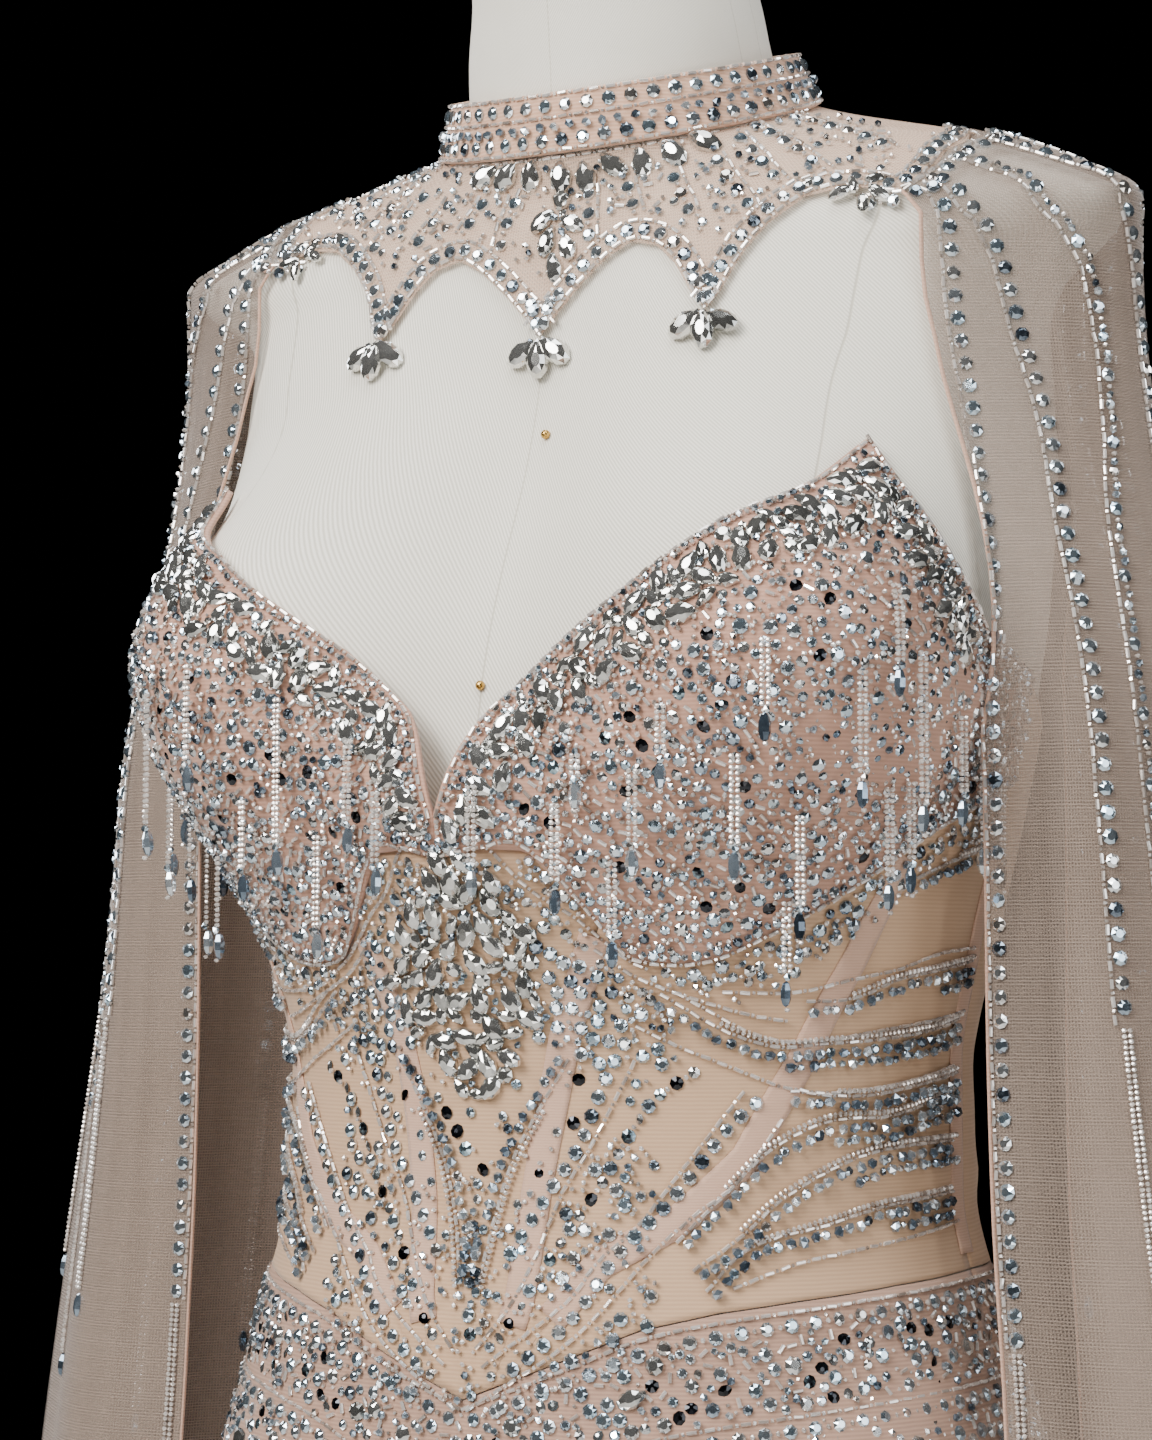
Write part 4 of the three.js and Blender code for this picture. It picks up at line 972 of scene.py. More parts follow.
@dataclass(frozen=True)
class Skirt:
    """The fitted skirt, flaring in soft waves below the knee."""

    rows: int = 104
    front_columns: int = 88
    back_columns: int = 46

    CREASES = (
        Crease((80, -60), (40, -90), 7, 1.6), Crease((-80, -80), (-30, -100), 8, 1.5),
        Crease((60, -160), (10, -190), 10, 1.4), Crease((-50, -200), (0, -230), 11, 1.5),
        Crease((30, -420), (55, -760), 8, 1.8), Crease((-34, -450), (-60, -800), 9, 1.8),
        Crease((5, -520), (12, -900), 8, 1.6), Crease((-8, -560), (-14, -960), 7, 1.5),
        Crease((120, -80), (170, -120), 9, 1.6), Crease((110, -430), (125, -820), 9, 1.8),
        Crease((160, -440), (150, -860), 10, 1.8))

    def build(self) -> None:
        """Builds the skirt's front and two backs."""
        turns, levels = self._front()
        front = Layer(GOWN, FORM_GAP + MESH_WALL, True, self.CREASES)
        Cloth("skirt_front_cloth", front.points(turns, levels), Finish.SKIRT, MESH_WALL).dress(
            "skirt_mesh", ["skirt_front"])
        turns = np.linspace(SIDE_SEAM_TURN + 0.15, BACK_SEAM_TURN - 0.15, self.back_columns + 1)
        levels = np.linspace(HEM_LEVEL + 0.3, HIP_LEVEL_BACK - 0.3, self.rows + 1)
        back = Layer(GOWN, FORM_GAP + MESH_WALL, False, self.CREASES)
        grid = back.points(turns[None, :], levels[:, None])
        Cloth("skirt_back_left_cloth", grid, Finish.SKIRT, MESH_WALL).dress(
            "skirt_mesh", ["skirt_back_left"])
        turns = np.linspace(-BACK_SEAM_TURN + 0.15, -SIDE_SEAM_TURN - 0.15, self.back_columns + 1)
        grid = back.points(turns[None, :], levels[:, None])
        Cloth("skirt_back_right_cloth", grid, Finish.SKIRT, MESH_WALL).dress(
            "skirt_mesh", ["skirt_back_right"])

    def _front(self) -> tuple[Array, Array]:
        """Gives the turns and levels of the front's grid."""
        turns = np.linspace(-SIDE_SEAM_TURN + 0.15, SIDE_SEAM_TURN - 0.15, self.front_columns + 1)
        seam = np.array(HIP_SEAM, float)
        top = np.interp(np.abs(turns), seam[:, 0], seam[:, 1]) - 0.3
        share = np.linspace(0, 1, self.rows + 1)[:, None]
        return turns[None, :] + 0 * share, (HEM_LEVEL + 0.3) * (1 - share) + top[None, :] * share


@dataclass(frozen=True)
class Yoke:
    """The sheer scalloped yoke and the standing collar."""

    rows: int = 26

    surface = YokeSurface(FORM, COLLAR)

    @staticmethod
    def scallop() -> Array:
        """Gives the yoke front's lower edge, softly rounded, from right to left."""
        half = np.array(SCALLOP, float)
        turns = np.concatenate([-half[:0:-1, 0], half[:, 0]])
        levels = np.concatenate([half[:0:-1, 1], half[:, 1]])
        fine = np.linspace(turns[0], turns[-1], 241)
        return np.stack([fine, np.interp(fine, turns, levels)], axis=-1)

    def build(self) -> None:
        """Builds the yoke's front and backs and the collar."""
        edge = self.scallop()
        share = np.linspace(0.004, 0.997, self.rows + 1)[:, None]
        outer = Layer(self.surface, YOKE_MESH)
        turns = edge[None, :, 0] * 0.999 + 0 * share
        levels = edge[None, :, 1] * (1 - share) + YOKE_TOP_LEVEL * share
        Cloth("yoke_front_cloth", outer.points(turns, levels), Finish.YOKE, YOKE_MESH * 0.6).dress(
            "yoke_mesh", ["yoke_front"])
        back = np.array(YOKE_BACK_EDGE, float)
        fine = np.linspace(SHOULDER_TURN + 0.15, BACK_SEAM_TURN - 0.2, 61)
        low = np.interp(fine, back[:, 0], back[:, 1])
        levels = low[None, :] * (1 - share) + YOKE_TOP_LEVEL * share
        grid = outer.points(fine[None, :] + 0 * share, levels)
        for side, points in (("left", grid), ("right", Cloth.mirror(grid))):
            Cloth(f"yoke_back_{side}_cloth", points, Finish.YOKE, YOKE_MESH * 0.6).dress(
                "yoke_mesh", [f"yoke_back_{side}"])
        turns = np.linspace(-178.8, 178.8, 145)[None, :]
        levels = np.linspace(YOKE_TOP_LEVEL + COLLAR_GAP + 0.2, YOKE_TOP_LEVEL + COLLAR_HEIGHT - 0.2, 11)
        grid = Layer(COLLAR, COLLAR_WALL).points(turns, levels[:, None])
        Cloth("collar_cloth", grid, Finish.COLLAR, COLLAR_WALL).dress(
            "yoke_mesh", ["collar"])


@dataclass(frozen=True)
class Capes:
    """The two sheer capes, from the shoulder seams to just above the floor."""

    columns: int = 96
    hang_rows: int = 104
    shoulder_rows: int = 20

    FRONT_ANGLE = -90.0
    SWEEP = 190.0
    FOLD_TURN = 60.0
    SHOULDER_LEVEL = 318.0
    FALL_FROM = 130.0
    ROLL = 1.1
    # Columns: share round the cape, width, depth of a soft fold that opens from the elbow down
    FOLDS = ((0.07, 0.03, 2.4), (0.2, 0.05, -2.0), (0.33, 0.035, 2.6), (0.41, 0.03, -1.8),
             (0.56, 0.045, 2.6), (0.69, 0.03, -2.2), (0.8, 0.04, 2.8), (0.92, 0.03, -2.0))

    def hangs(self, share: Array, level: Array) -> Array:
        """Gives the points of the hanging part.

        Args:
            share: Share of the way round, from the front edge to the back edge.
            level: Level above the waist.

        Returns:
            The points in millimetres.
        """
        share, level = np.broadcast_arrays(np.asarray(share, float), np.asarray(level, float))
        centre, reach, front, back, fold = np.moveaxis(SectionCurve(CAPE_SECTIONS).at(level), -1, 0)
        angle = self.FRONT_ANGLE + self.SWEEP * share
        wave = fold * np.cos(np.radians(360 / self.FOLD_TURN * angle))
        loose = smoothstep(-level, -160, 700)
        for place, width, depth in self.FOLDS:
            wave = wave + depth * loose * bell(share - place, width)
        depth = np.where(angle < 0, front, back)
        x = centre + (reach - centre + wave) * np.cos(np.radians(angle))
        y = (depth + wave) * np.sin(np.radians(angle))
        body = GOWN.points(np.degrees(np.arctan2(x, -y)), level)
        clear = np.hypot(body[..., 0], body[..., 1]) + CAPE_CLEAR
        out = np.maximum(clear / np.hypot(x, y), 1)
        return np.stack([x * out, y * out, WAIST_HEIGHT + level], axis=-1)

    def over_shoulder(self, share: Array, rise: Array) -> Array:
        """Gives the points between the hanging part's top and the shoulder seam."""
        hang = self.hangs(share, np.full(np.shape(share), self.SHOULDER_LEVEL))
        turn = np.degrees(np.arctan2(hang[..., 0], -hang[..., 1]))
        seam = pick(run(CAPE_SEAM, 2), share)
        turns = turn * (1 - rise) + seam[..., 0] * rise
        levels = (hang[..., 2] - WAIST_HEIGHT) * (1 - rise) + seam[..., 1] * rise
        return FORM.off(turns, levels, CAPE_GAP)

    def grid(self) -> Array:
        """Gives the left cape's grid, from the hem up to the shoulder seam."""
        share = np.linspace(0.002, 0.998, self.columns + 1)
        low = np.linspace(-1036 + 0.3, 302, self.hang_rows + 1)
        hanging = self.hangs(share[None, :], low[:, None])
        rise = np.linspace(0, 0.985, self.shoulder_rows + 1)[:, None] + 0 * share[None, :]
        top = self.over_shoulder(share[None, :] + 0 * rise, rise)
        last = np.hypot(top[..., 0], top[..., 1]).argmax(axis=0)
        widest = np.take_along_axis(top, last[None, :, None], axis=0)[0, :, :2]
        before = np.arange(len(top))[:, None] < last[None, :]
        top[..., :2] = np.where(before[..., None], widest[None], top[..., :2])
        pull = smoothstep(low, self.FALL_FROM, self.SHOULDER_LEVEL)[:, None, None]
        hanging[..., :2] = hanging[..., :2] * (1 - pull) + widest[None] * pull
        body = GOWN.points(np.degrees(np.arctan2(hanging[..., 0], -hanging[..., 1])), low[:, None])
        clear = np.hypot(body[..., 0], body[..., 1]) + CAPE_CLEAR * (1 - 0.7 * pull[..., 0])
        hanging[..., :2] *= np.maximum(clear / np.hypot(hanging[..., 0], hanging[..., 1]), 1)[..., None]
        middle = [(1 - t) * hanging[-1] + t * top[0] for t in (1 / 3, 2 / 3)]
        return np.concatenate([hanging, np.array(middle), top])

    def surface(self) -> GridSurface:
        """Gives the left cape's outer surface, by share round and share up."""
        return GridSurface(self._outer(self.grid()))

    @staticmethod
    def _outer(grid: Array) -> Array:
        """Gives the grid moved out by the cloth's thickness."""
        normal = unit(np.cross(np.gradient(grid, axis=1), np.gradient(grid, axis=0)))
        return grid + normal * CAPE_WALL

    def build(self) -> None:
        """Builds both capes."""
        left = self._outer(self.grid())
        for side, points in (("left", left), ("right", Cloth.mirror(left))):
            rolls = [self._rolled_edge(f"cape_{side}_{word}_roll", points[:, column])
                     for word, column in (("front", 0 if side == "left" else -1),
                                          ("back", -1 if side == "left" else 0))]
            Cloth(f"cape_{side}_cloth", points, Finish.TULLE, CAPE_WALL * 0.5).dress(
                "cape_tulle", [f"cape_{side}"], rolls)

    def _rolled_edge(self, name: str, line: Array) -> bpy.types.Object:
        """Builds the narrow peach roll that finishes an edge of the cape.

        Args:
            name: The piece's name.
            line: The edge's points, from the hem up.

        Returns:
            The finished piece.
        """
        along = unit(np.gradient(line, axis=0))
        out = unit(line * (1, 1, 0) - along * (line * along * (1, 1, 0)).sum(axis=1, keepdims=True))
        aside = np.cross(along, out)
        turns = np.radians(np.arange(0, 360, 60))[None, :, None]
        ring = line[:, None] + self.ROLL * (np.cos(turns) * aside[:, None] + 0.5 * np.sin(turns) * out[:, None])
        index = np.arange(ring.shape[0] * 6).reshape(-1, 6)
        after = np.roll(index, -1, axis=1)
        faces = np.stack([index[:-1], after[:-1], after[1:], index[1:]], axis=-1).reshape(-1, 4).tolist()
        faces += [index[0][::-1].tolist(), index[-1].tolist()]
        return new_object(name, ring.reshape(-1, 3), faces, [Finish.HEM], smooth=True)


@dataclass(frozen=True)
class DressForm:
    """The limbless padded form under the gown, and its stand."""

    columns: int = 144
    rows: int = 190

    SEAM_FROM_BUST = ((183, 40), (239, 53), (278, 61), (319, 67), (353, 72), (369, 78))
    SEAM_TO_HIP = ((-250, 34), (-100, 31), (0, 30), (90, 33), (183, 40))
    PIN_PLACES = ((4.5, 249), (0, 163))

    def build(self) -> None:
        """Builds the torso and its pins and dresses the stand."""
        turns = np.linspace(-180, 180, self.columns + 1)[:-1]
        levels = np.linspace(-250, 460, self.rows + 1)
        grid = FORM.points(turns[None, :], levels[:, None])
        ends = np.array([grid[0].mean(axis=0), grid[-1].mean(axis=0)])
        index = np.arange(grid.shape[0] * self.columns).reshape(-1, self.columns)
        after = np.roll(index, -1, axis=1)
        faces = np.stack([index[:-1], after[:-1], after[1:], index[1:]], axis=-1).reshape(-1, 4).tolist()
        count = index.size
        faces += [(int(b), int(a), count) for a, b in zip(index[0], after[0])]
        faces += [(int(a), int(b), count + 1) for a, b in zip(index[-1], after[-1])]
        torso = new_object("form_torso_cover", np.vstack([grid.reshape(-1, 3), ends]), faces,
                           [Finish.TWILL], smooth=True)
        self._map(torso, grid, levels)
        self._seams(torso, turns, levels)
        report(torso, "form_cover", "form_torso")
        self._pins()
        for node, finish in (("neck_cap", Finish.WOOD), ("stand_pole", Finish.STAND),
                             ("stand_foot", Finish.STAND)):
            solid = bpy.data.objects[node]
            solid.data.materials.clear()
            solid.data.materials.append(finish.material)

    @staticmethod
    def _map(torso: bpy.types.Object, grid: Array, levels: Array) -> None:
        """Writes the cover's map in metres, round and up."""
        closed = np.concatenate([grid, grid[:, :1]], axis=1)
        girth = np.cumsum(np.linalg.norm(np.diff(closed, axis=1), axis=-1), axis=1).mean(axis=0) * MM
        mesh = torso.data
        layer = mesh.uv_layers.new(name="UVMap")
        columns = grid.shape[1]
        rows = np.append(levels, [levels[0], levels[-1]]) * MM
        round_to = np.concatenate([[0], girth])
        for polygon in mesh.polygons:
            spots = [mesh.loops[i].vertex_index for i in polygon.loop_indices]
            at = [v % columns if v < grid.shape[0] * columns else 0 for v in spots]
            wraps = max(at) - min(at) > columns / 2
            for loop, vertex, column in zip(polygon.loop_indices, spots, at):
                place = column + columns if wraps and column < columns / 2 else column
                row = min(vertex // columns, len(rows) - 1)
                layer.data[loop].uv = (round_to[place], rows[row])

    def _seams(self, torso: bpy.types.Object, turns: Array, levels: Array) -> None:
        """Writes how far each point is from the sewn seams, in millimetres."""
        turn, level = np.meshgrid(turns, levels)
        stops = np.array(self.SEAM_TO_HIP[:-1] + self.SEAM_FROM_BUST, float)
        princess = np.interp(level, stops[:, 0], stops[:, 1])
        fold = np.where(np.abs(turn) > 90, 180 - np.abs(turn), np.abs(turn)) * np.sign(turn)
        apart = np.stack([fold, np.abs(turn) - princess, np.abs(turn) - 92], axis=-1) * TURN_LENGTH
        apart = np.concatenate([apart.reshape(-1, 3), np.full((2, 3), 9.0)])
        layer = torso.data.attributes.new("seams", "FLOAT_VECTOR", "POINT")
        layer.data.foreach_set("vector", apart.ravel())

    def _pins(self) -> None:
        """Sets the brass pins' round heads in the form's chest."""
        heads = []
        for turn, level in self.PIN_PLACES:
            at = FORM.off(np.array(turn), np.array(level), 1.1) * MM
            bpy.ops.mesh.primitive_uv_sphere_add(segments=12, ring_count=8, radius=1.6 * MM, location=at)
            bpy.ops.object.transform_apply(location=True, rotation=True, scale=True)
            heads.append(bpy.context.object)
        bpy.ops.object.select_all(action="DESELECT")
        for head in heads:
            head.select_set(True)
        bpy.context.view_layer.objects.active = heads[0]
        bpy.ops.object.join()
        pins = bpy.context.object
        pins.name = "form_pins"
        pins.data.materials.append(Finish.BRASS.material)
        pins.data.polygons.foreach_set("use_smooth", np.ones(len(pins.data.polygons), bool))
        report(pins, "stones")


class Shape(Enum):
    """The bead and stone shapes, each modelled once and copied."""

    BUGLE = "bugle"
    SEED = "seed"
    TINY = "tiny"
    BICONE = "bicone"
    ROUND = "round"
    SEQUIN = "sequin"
    PEAR = "pear"
    MARQUISE = "marquise"
    BRIOLETTE = "briolette"


class BeadBench:
    """Models the beads with Blender's own tools: one unit is one millimetre, +X along, +Z off the cloth."""

    def __init__(self) -> None:
        """Makes the bench with nothing on it."""
        self.made: dict[Shape, tuple[Array, list[Array]]] = {}

    def master(self, shape: Shape) -> tuple[Array, list[Array]]:
        """Gives a shape's points and its faces, grouped by their number of corners.

        Args:
            shape: The shape asked for.

        Returns:
            Its points and one array of faces for each number of corners.
        """
        if shape not in self.made:
            bpy.ops.object.select_all(action="DESELECT")
            getattr(self, f"_{shape.value}")()
            bead = bpy.context.object
            bpy.ops.object.transform_apply(location=True, rotation=True, scale=True)
            points = np.array([v.co[:] for v in bead.data.vertices])
            faces = [list(p.vertices) for p in bead.data.polygons]
            sizes = sorted({len(f) for f in faces})
            self.made[shape] = (points, [np.array([f for f in faces if len(f) == k]) for k in sizes])
            mesh = bead.data
            bpy.data.objects.remove(bead)
            bpy.data.meshes.remove(mesh)
        return self.made[shape]

    @staticmethod
    def _pick(choose: Callable[[Vector, Vector], bool]) -> None:
        """Selects the faces whose centre and normal pass the test, in edit mode."""
        bead = bpy.context.object
        bpy.ops.object.mode_set(mode="EDIT")
        bpy.ops.mesh.select_mode(type="FACE")
        bpy.ops.mesh.select_all(action="DESELECT")
        bpy.ops.object.mode_set(mode="OBJECT")
        for polygon in bead.data.polygons:
            polygon.select = choose(polygon.center, polygon.normal)
        bpy.ops.object.mode_set(mode="EDIT")

    @staticmethod
    def _pinch(choose: Callable[[Vector], bool], width: float) -> None:
        """Narrows the chosen points across the bead."""
        bead = bpy.context.object
        bpy.ops.object.mode_set(mode="EDIT")
        bpy.ops.mesh.select_mode(type="VERT")
        bpy.ops.mesh.select_all(action="DESELECT")
        bpy.ops.object.mode_set(mode="OBJECT")
        for vertex in bead.data.vertices:
            vertex.select = choose(vertex.co)
        bpy.ops.object.mode_set(mode="EDIT")
        bpy.ops.transform.resize(value=(1, width, 1), center_override=(0, 0, 0))
        bpy.ops.object.mode_set(mode="OBJECT")

    def _bugle(self) -> None:
        """A short cut tube."""
        bpy.ops.mesh.primitive_cylinder_add(
            vertices=6, radius=0.8, depth=1, rotation=(0, math.radians(90), 0), location=(0, 0, 0.75))

    def _seed(self) -> None:
        """A small round bead, flattened along its thread."""
        bpy.ops.mesh.primitive_ico_sphere_add(subdivisions=1, radius=1, location=(0, 0, 0.9))
        bpy.ops.transform.resize(value=(0.8, 1, 1), center_override=(0, 0, 0.9))

    def _tiny(self) -> None:
        """A very small cut bead."""
        bpy.ops.mesh.primitive_cylinder_add(
            vertices=4, radius=1, depth=1.5, rotation=(0, math.radians(90), 0), location=(0, 0, 0.9))

    def _bicone(self) -> None:
        """A faceted bead, pointed at both ends of its thread."""
        bpy.ops.mesh.primitive_ico_sphere_add(
            subdivisions=1, radius=1, location=(0, 0, 0.9), rotation=(0.3, 0.2, 0.1))
        bpy.ops.transform.resize(value=(1.1, 0.95, 0.95), center_override=(0, 0, 0.9))

    def _cut(self, corners: int, girdle: float, *tiers: tuple[float, float]) -> None:
        """A flat-backed stone: a girdle and tiers of facets, each with its rise and its narrowing."""
        bpy.ops.mesh.primitive_cylinder_add(
            vertices=corners, radius=1, depth=girdle, location=(0, 0, girdle / 2))
        bpy.ops.object.transform_apply(location=True, rotation=True, scale=True)
        self._pick(lambda centre, normal: normal.z > 0.9)
        for rise, narrowing in tiers:
            bpy.ops.mesh.extrude_region_move(TRANSFORM_OT_translate={"value": (0, 0, rise)})
            bpy.ops.transform.resize(value=(narrowing, narrowing, 1))
            bpy.ops.transform.rotate(
                value=math.pi / corners, orient_axis="Z", center_override=(0, 0, 0))
        bpy.ops.object.mode_set(mode="OBJECT")

    def _round(self) -> None:
        """A round flat-backed stone."""
        self._cut(8, 0.35, (0.42, 0.52))

    def _pear(self) -> None:
        """A pear stone, pointed towards -X."""
        self._cut(10, 0.3, (0.28, 0.76), (0.2, 0.5))
        bpy.ops.transform.resize(value=(1.62, 1, 1), center_override=(0, 0, 0))
        self._pinch(lambda at: at.x < -0.4, 0.72)
        self._pinch(lambda at: at.x < -1.2, 0.42)

    def _marquise(self) -> None:
        """A marquise stone, pointed at both ends."""
        self._cut(10, 0.3, (0.28, 0.74), (0.2, 0.48))
        bpy.ops.transform.resize(value=(1.95, 1, 1), center_override=(0, 0, 0))
        self._pinch(lambda at: abs(at.x) > 1.0, 0.62)
        self._pinch(lambda at: abs(at.x) > 1.6, 0.4)

    def _sequin(self) -> None:
        """A cupped sequin with a raised middle, where its bead holds it."""
        bpy.ops.mesh.primitive_cone_add(
            vertices=8, radius1=1, radius2=0.3, depth=0.26, location=(0, 0, 0.16))

    def _briolette(self) -> None:
        """A faceted drop, wider towards +X, the end that hangs down."""
        bpy.ops.mesh.primitive_uv_sphere_add(
            segments=6, ring_count=5, radius=1, rotation=(0, math.radians(90), 0))
        bpy.ops.object.transform_apply(location=True, rotation=True, scale=True)
        bpy.ops.transform.resize(value=(1.9, 1, 1), center_override=(0, 0, 0))
        self._pinch(lambda at: at.x < -0.9, 0.5)


@dataclass(frozen=True)
class Bead:
    """One kind of bead as it is sewn on: its shape, finish and size in millimetres."""

    shape: Shape
    finish: Finish
    size: tuple[float, float, float]
    pitch: float
    tone: float = 0.5
    spread: float = 0.2
    tilt: float = 4.0
    twist: float = 3.0
    room: float = 1.0

    @property
    def reach(self) -> float:
        """Gives the room that it takes on the cloth, as a radius."""
        return self.pitch / 2 * self.room


BUGLE = Bead(Shape.BUGLE, Finish.GLASS, (3.1, 0.82, 0.82), 3.5, tilt=6, twist=5)
SEED = Bead(Shape.SEED, Finish.GLASS, (1.02, 1.02, 1.02), 1.9, spread=0.25, room=0.85)
TINY_SEED = Bead(Shape.TINY, Finish.GLASS, (0.6, 0.6, 0.6), 2.1, spread=0.25, twist=20)
THREAD_SEED = Bead(Shape.SEED, Finish.GLASS, (1.05, 0.92, 0.92), 1.75, tone=0.6, spread=0.15, twist=0)
CRYSTAL_SEED = Bead(Shape.BICONE, Finish.CRYSTAL, (1.35, 1.35, 1.35), 2.9, spread=0.3, tilt=20, twist=90,
                    room=0.85)
GREY_BICONE = Bead(Shape.BICONE, Finish.SMOKE, (1.45, 1.45, 1.45), 2.9, tone=0.6, spread=0.22, tilt=20,
                   twist=90, room=0.85)
PAIR_BEAD = Bead(Shape.BICONE, Finish.SMOKE, (1.8, 1.7, 1.7), 3.2, tone=0.55, spread=0.25, tilt=20,
                 twist=90)
PAIR_END = Bead(Shape.BICONE, Finish.SMOKE, (1.8, 1.7, 1.7), 8.0, tone=0.55, spread=0.25, tilt=20,
                twist=90)
STONE = Bead(Shape.ROUND, Finish.CRYSTAL, (2.4, 2.4, 2.3), 6.3, tone=0.5, spread=0.22, tilt=6, twist=90,
             room=0.8)
ROW_BEAD = Bead(Shape.BICONE, Finish.SMOKE, (1.95, 1.9, 1.9), 4.4, tone=0.52, spread=0.25, tilt=20,
                twist=90, room=0.85)
WIDE_STONE = Bead(Shape.ROUND, Finish.CRYSTAL, (2.45, 2.45, 2.2), 7.6, tone=0.5, spread=0.22, tilt=6,
                  twist=90, room=0.7)
SMALL_STONE = Bead(Shape.ROUND, Finish.CRYSTAL, (1.75, 1.75, 1.8), 3.9, spread=0.26, tilt=9, twist=90,
                   room=0.9)
LARGE_STONE = Bead(Shape.ROUND, Finish.CLEAR, (3.0, 3.0, 3.1), 6.3, tone=0.6, tilt=14, twist=90,
                   room=0.85)
SILVER_SEQUIN = Bead(Shape.SEQUIN, Finish.SEQUIN, (1.9, 1.9, 1.9), 3.9, tone=0.64, spread=0.1, tilt=15,
                     twist=90, room=0.9)
DARK_SEQUIN = Bead(Shape.SEQUIN, Finish.SEQUIN, (2.3, 2.3, 2.3), 5.0, tone=0.2, spread=0.12, tilt=15,
                   twist=90, room=0.9)
PEAR = Bead(Shape.PEAR, Finish.CLEAR, (2.4, 2.4, 3.2), 7.2, tone=0.62, tilt=20, twist=24, room=0.72)
LARGE_PEAR = Bead(Shape.PEAR, Finish.CLEAR, (3.3, 3.3, 4.3), 10.0, tone=0.64, tilt=18, twist=24,
                  room=0.68)
MARQUISE = Bead(Shape.MARQUISE, Finish.CLEAR, (2.1, 2.1, 3.0), 7.0, tone=0.62, tilt=20, twist=30,
                room=0.68)
HUGE_PEAR = Bead(Shape.PEAR, Finish.CLEAR, (4.0, 4.0, 5.0), 11.0, tone=0.62, spread=0.14, tilt=12,
                 twist=12, room=0.7)
DROP = Bead(Shape.BRIOLETTE, Finish.SMOKE, (2.35, 2.0, 2.0), 9.6, tone=0.42, spread=0.3, tilt=4, twist=0)

EDGE_LINE = (BUGLE, TINY_SEED)
STONE_LINE = (STONE,)
SEQUIN_LINE = (SILVER_SEQUIN, SEED, DARK_SEQUIN, SEED, SILVER_SEQUIN, STONE)
MIXED_LINE = (CRYSTAL_SEED, GREY_BICONE, STONE, SEED, CRYSTAL_SEED, SMALL_STONE, SEED)
ROW_LINE = (ROW_BEAD, ROW_BEAD, SMALL_STONE, ROW_BEAD)
PAIR_LINE = (PAIR_BEAD, PAIR_END)


def inside(outline: Stops, a: Array, b: Array) -> Array:
    """Tells which places lie inside a closed outline.

    Args:
        outline: Its corners in order.
        a: The places' first coordinate.
        b: Their second coordinate.

    Returns:
        True for each place inside.
    """
    found = np.zeros(np.shape(a), bool)
    corners = np.array(outline, float)
    for (x1, y1), (x2, y2) in zip(corners, np.roll(corners, -1, axis=0)):
        rise = y2 - y1 if y2 != y1 else 1e-9
        found ^= ((y1 > b) != (y2 > b)) & (a < (x2 - x1) * (b - y1) / rise + x1)
    return found


class Room:
    """Keeps the places already taken, so that beads don't sit in one another."""

    CELL = 5.0

    def __init__(self) -> None:
        """Starts with all places free."""
        self.cells: dict[tuple[int, int, int], list[tuple[float, float, float, float]]] = {}

    def free(self, at: Sequence[float], reach: float) -> bool:
        """Tells whether a bead of this reach fits here."""
        i, j, k = (int(c // self.CELL) for c in at)
        for a in (i - 1, i, i + 1):
            for b in (j - 1, j, j + 1):
                for c in (k - 1, k, k + 1):
                    for x, y, z, other in self.cells.get((a, b, c), ()):
                        gap = (reach + other) * 0.94
                        if (x - at[0]) ** 2 + (y - at[1]) ** 2 + (z - at[2]) ** 2 < gap * gap:
                            return False
        return True

    def take(self, at: Sequence[float], reach: float) -> None:
        """Marks a bead's place as taken."""
        cell = tuple(int(c // self.CELL) for c in at)
        self.cells.setdefault(cell, []).append((at[0], at[1], at[2], min(reach, self.CELL)))


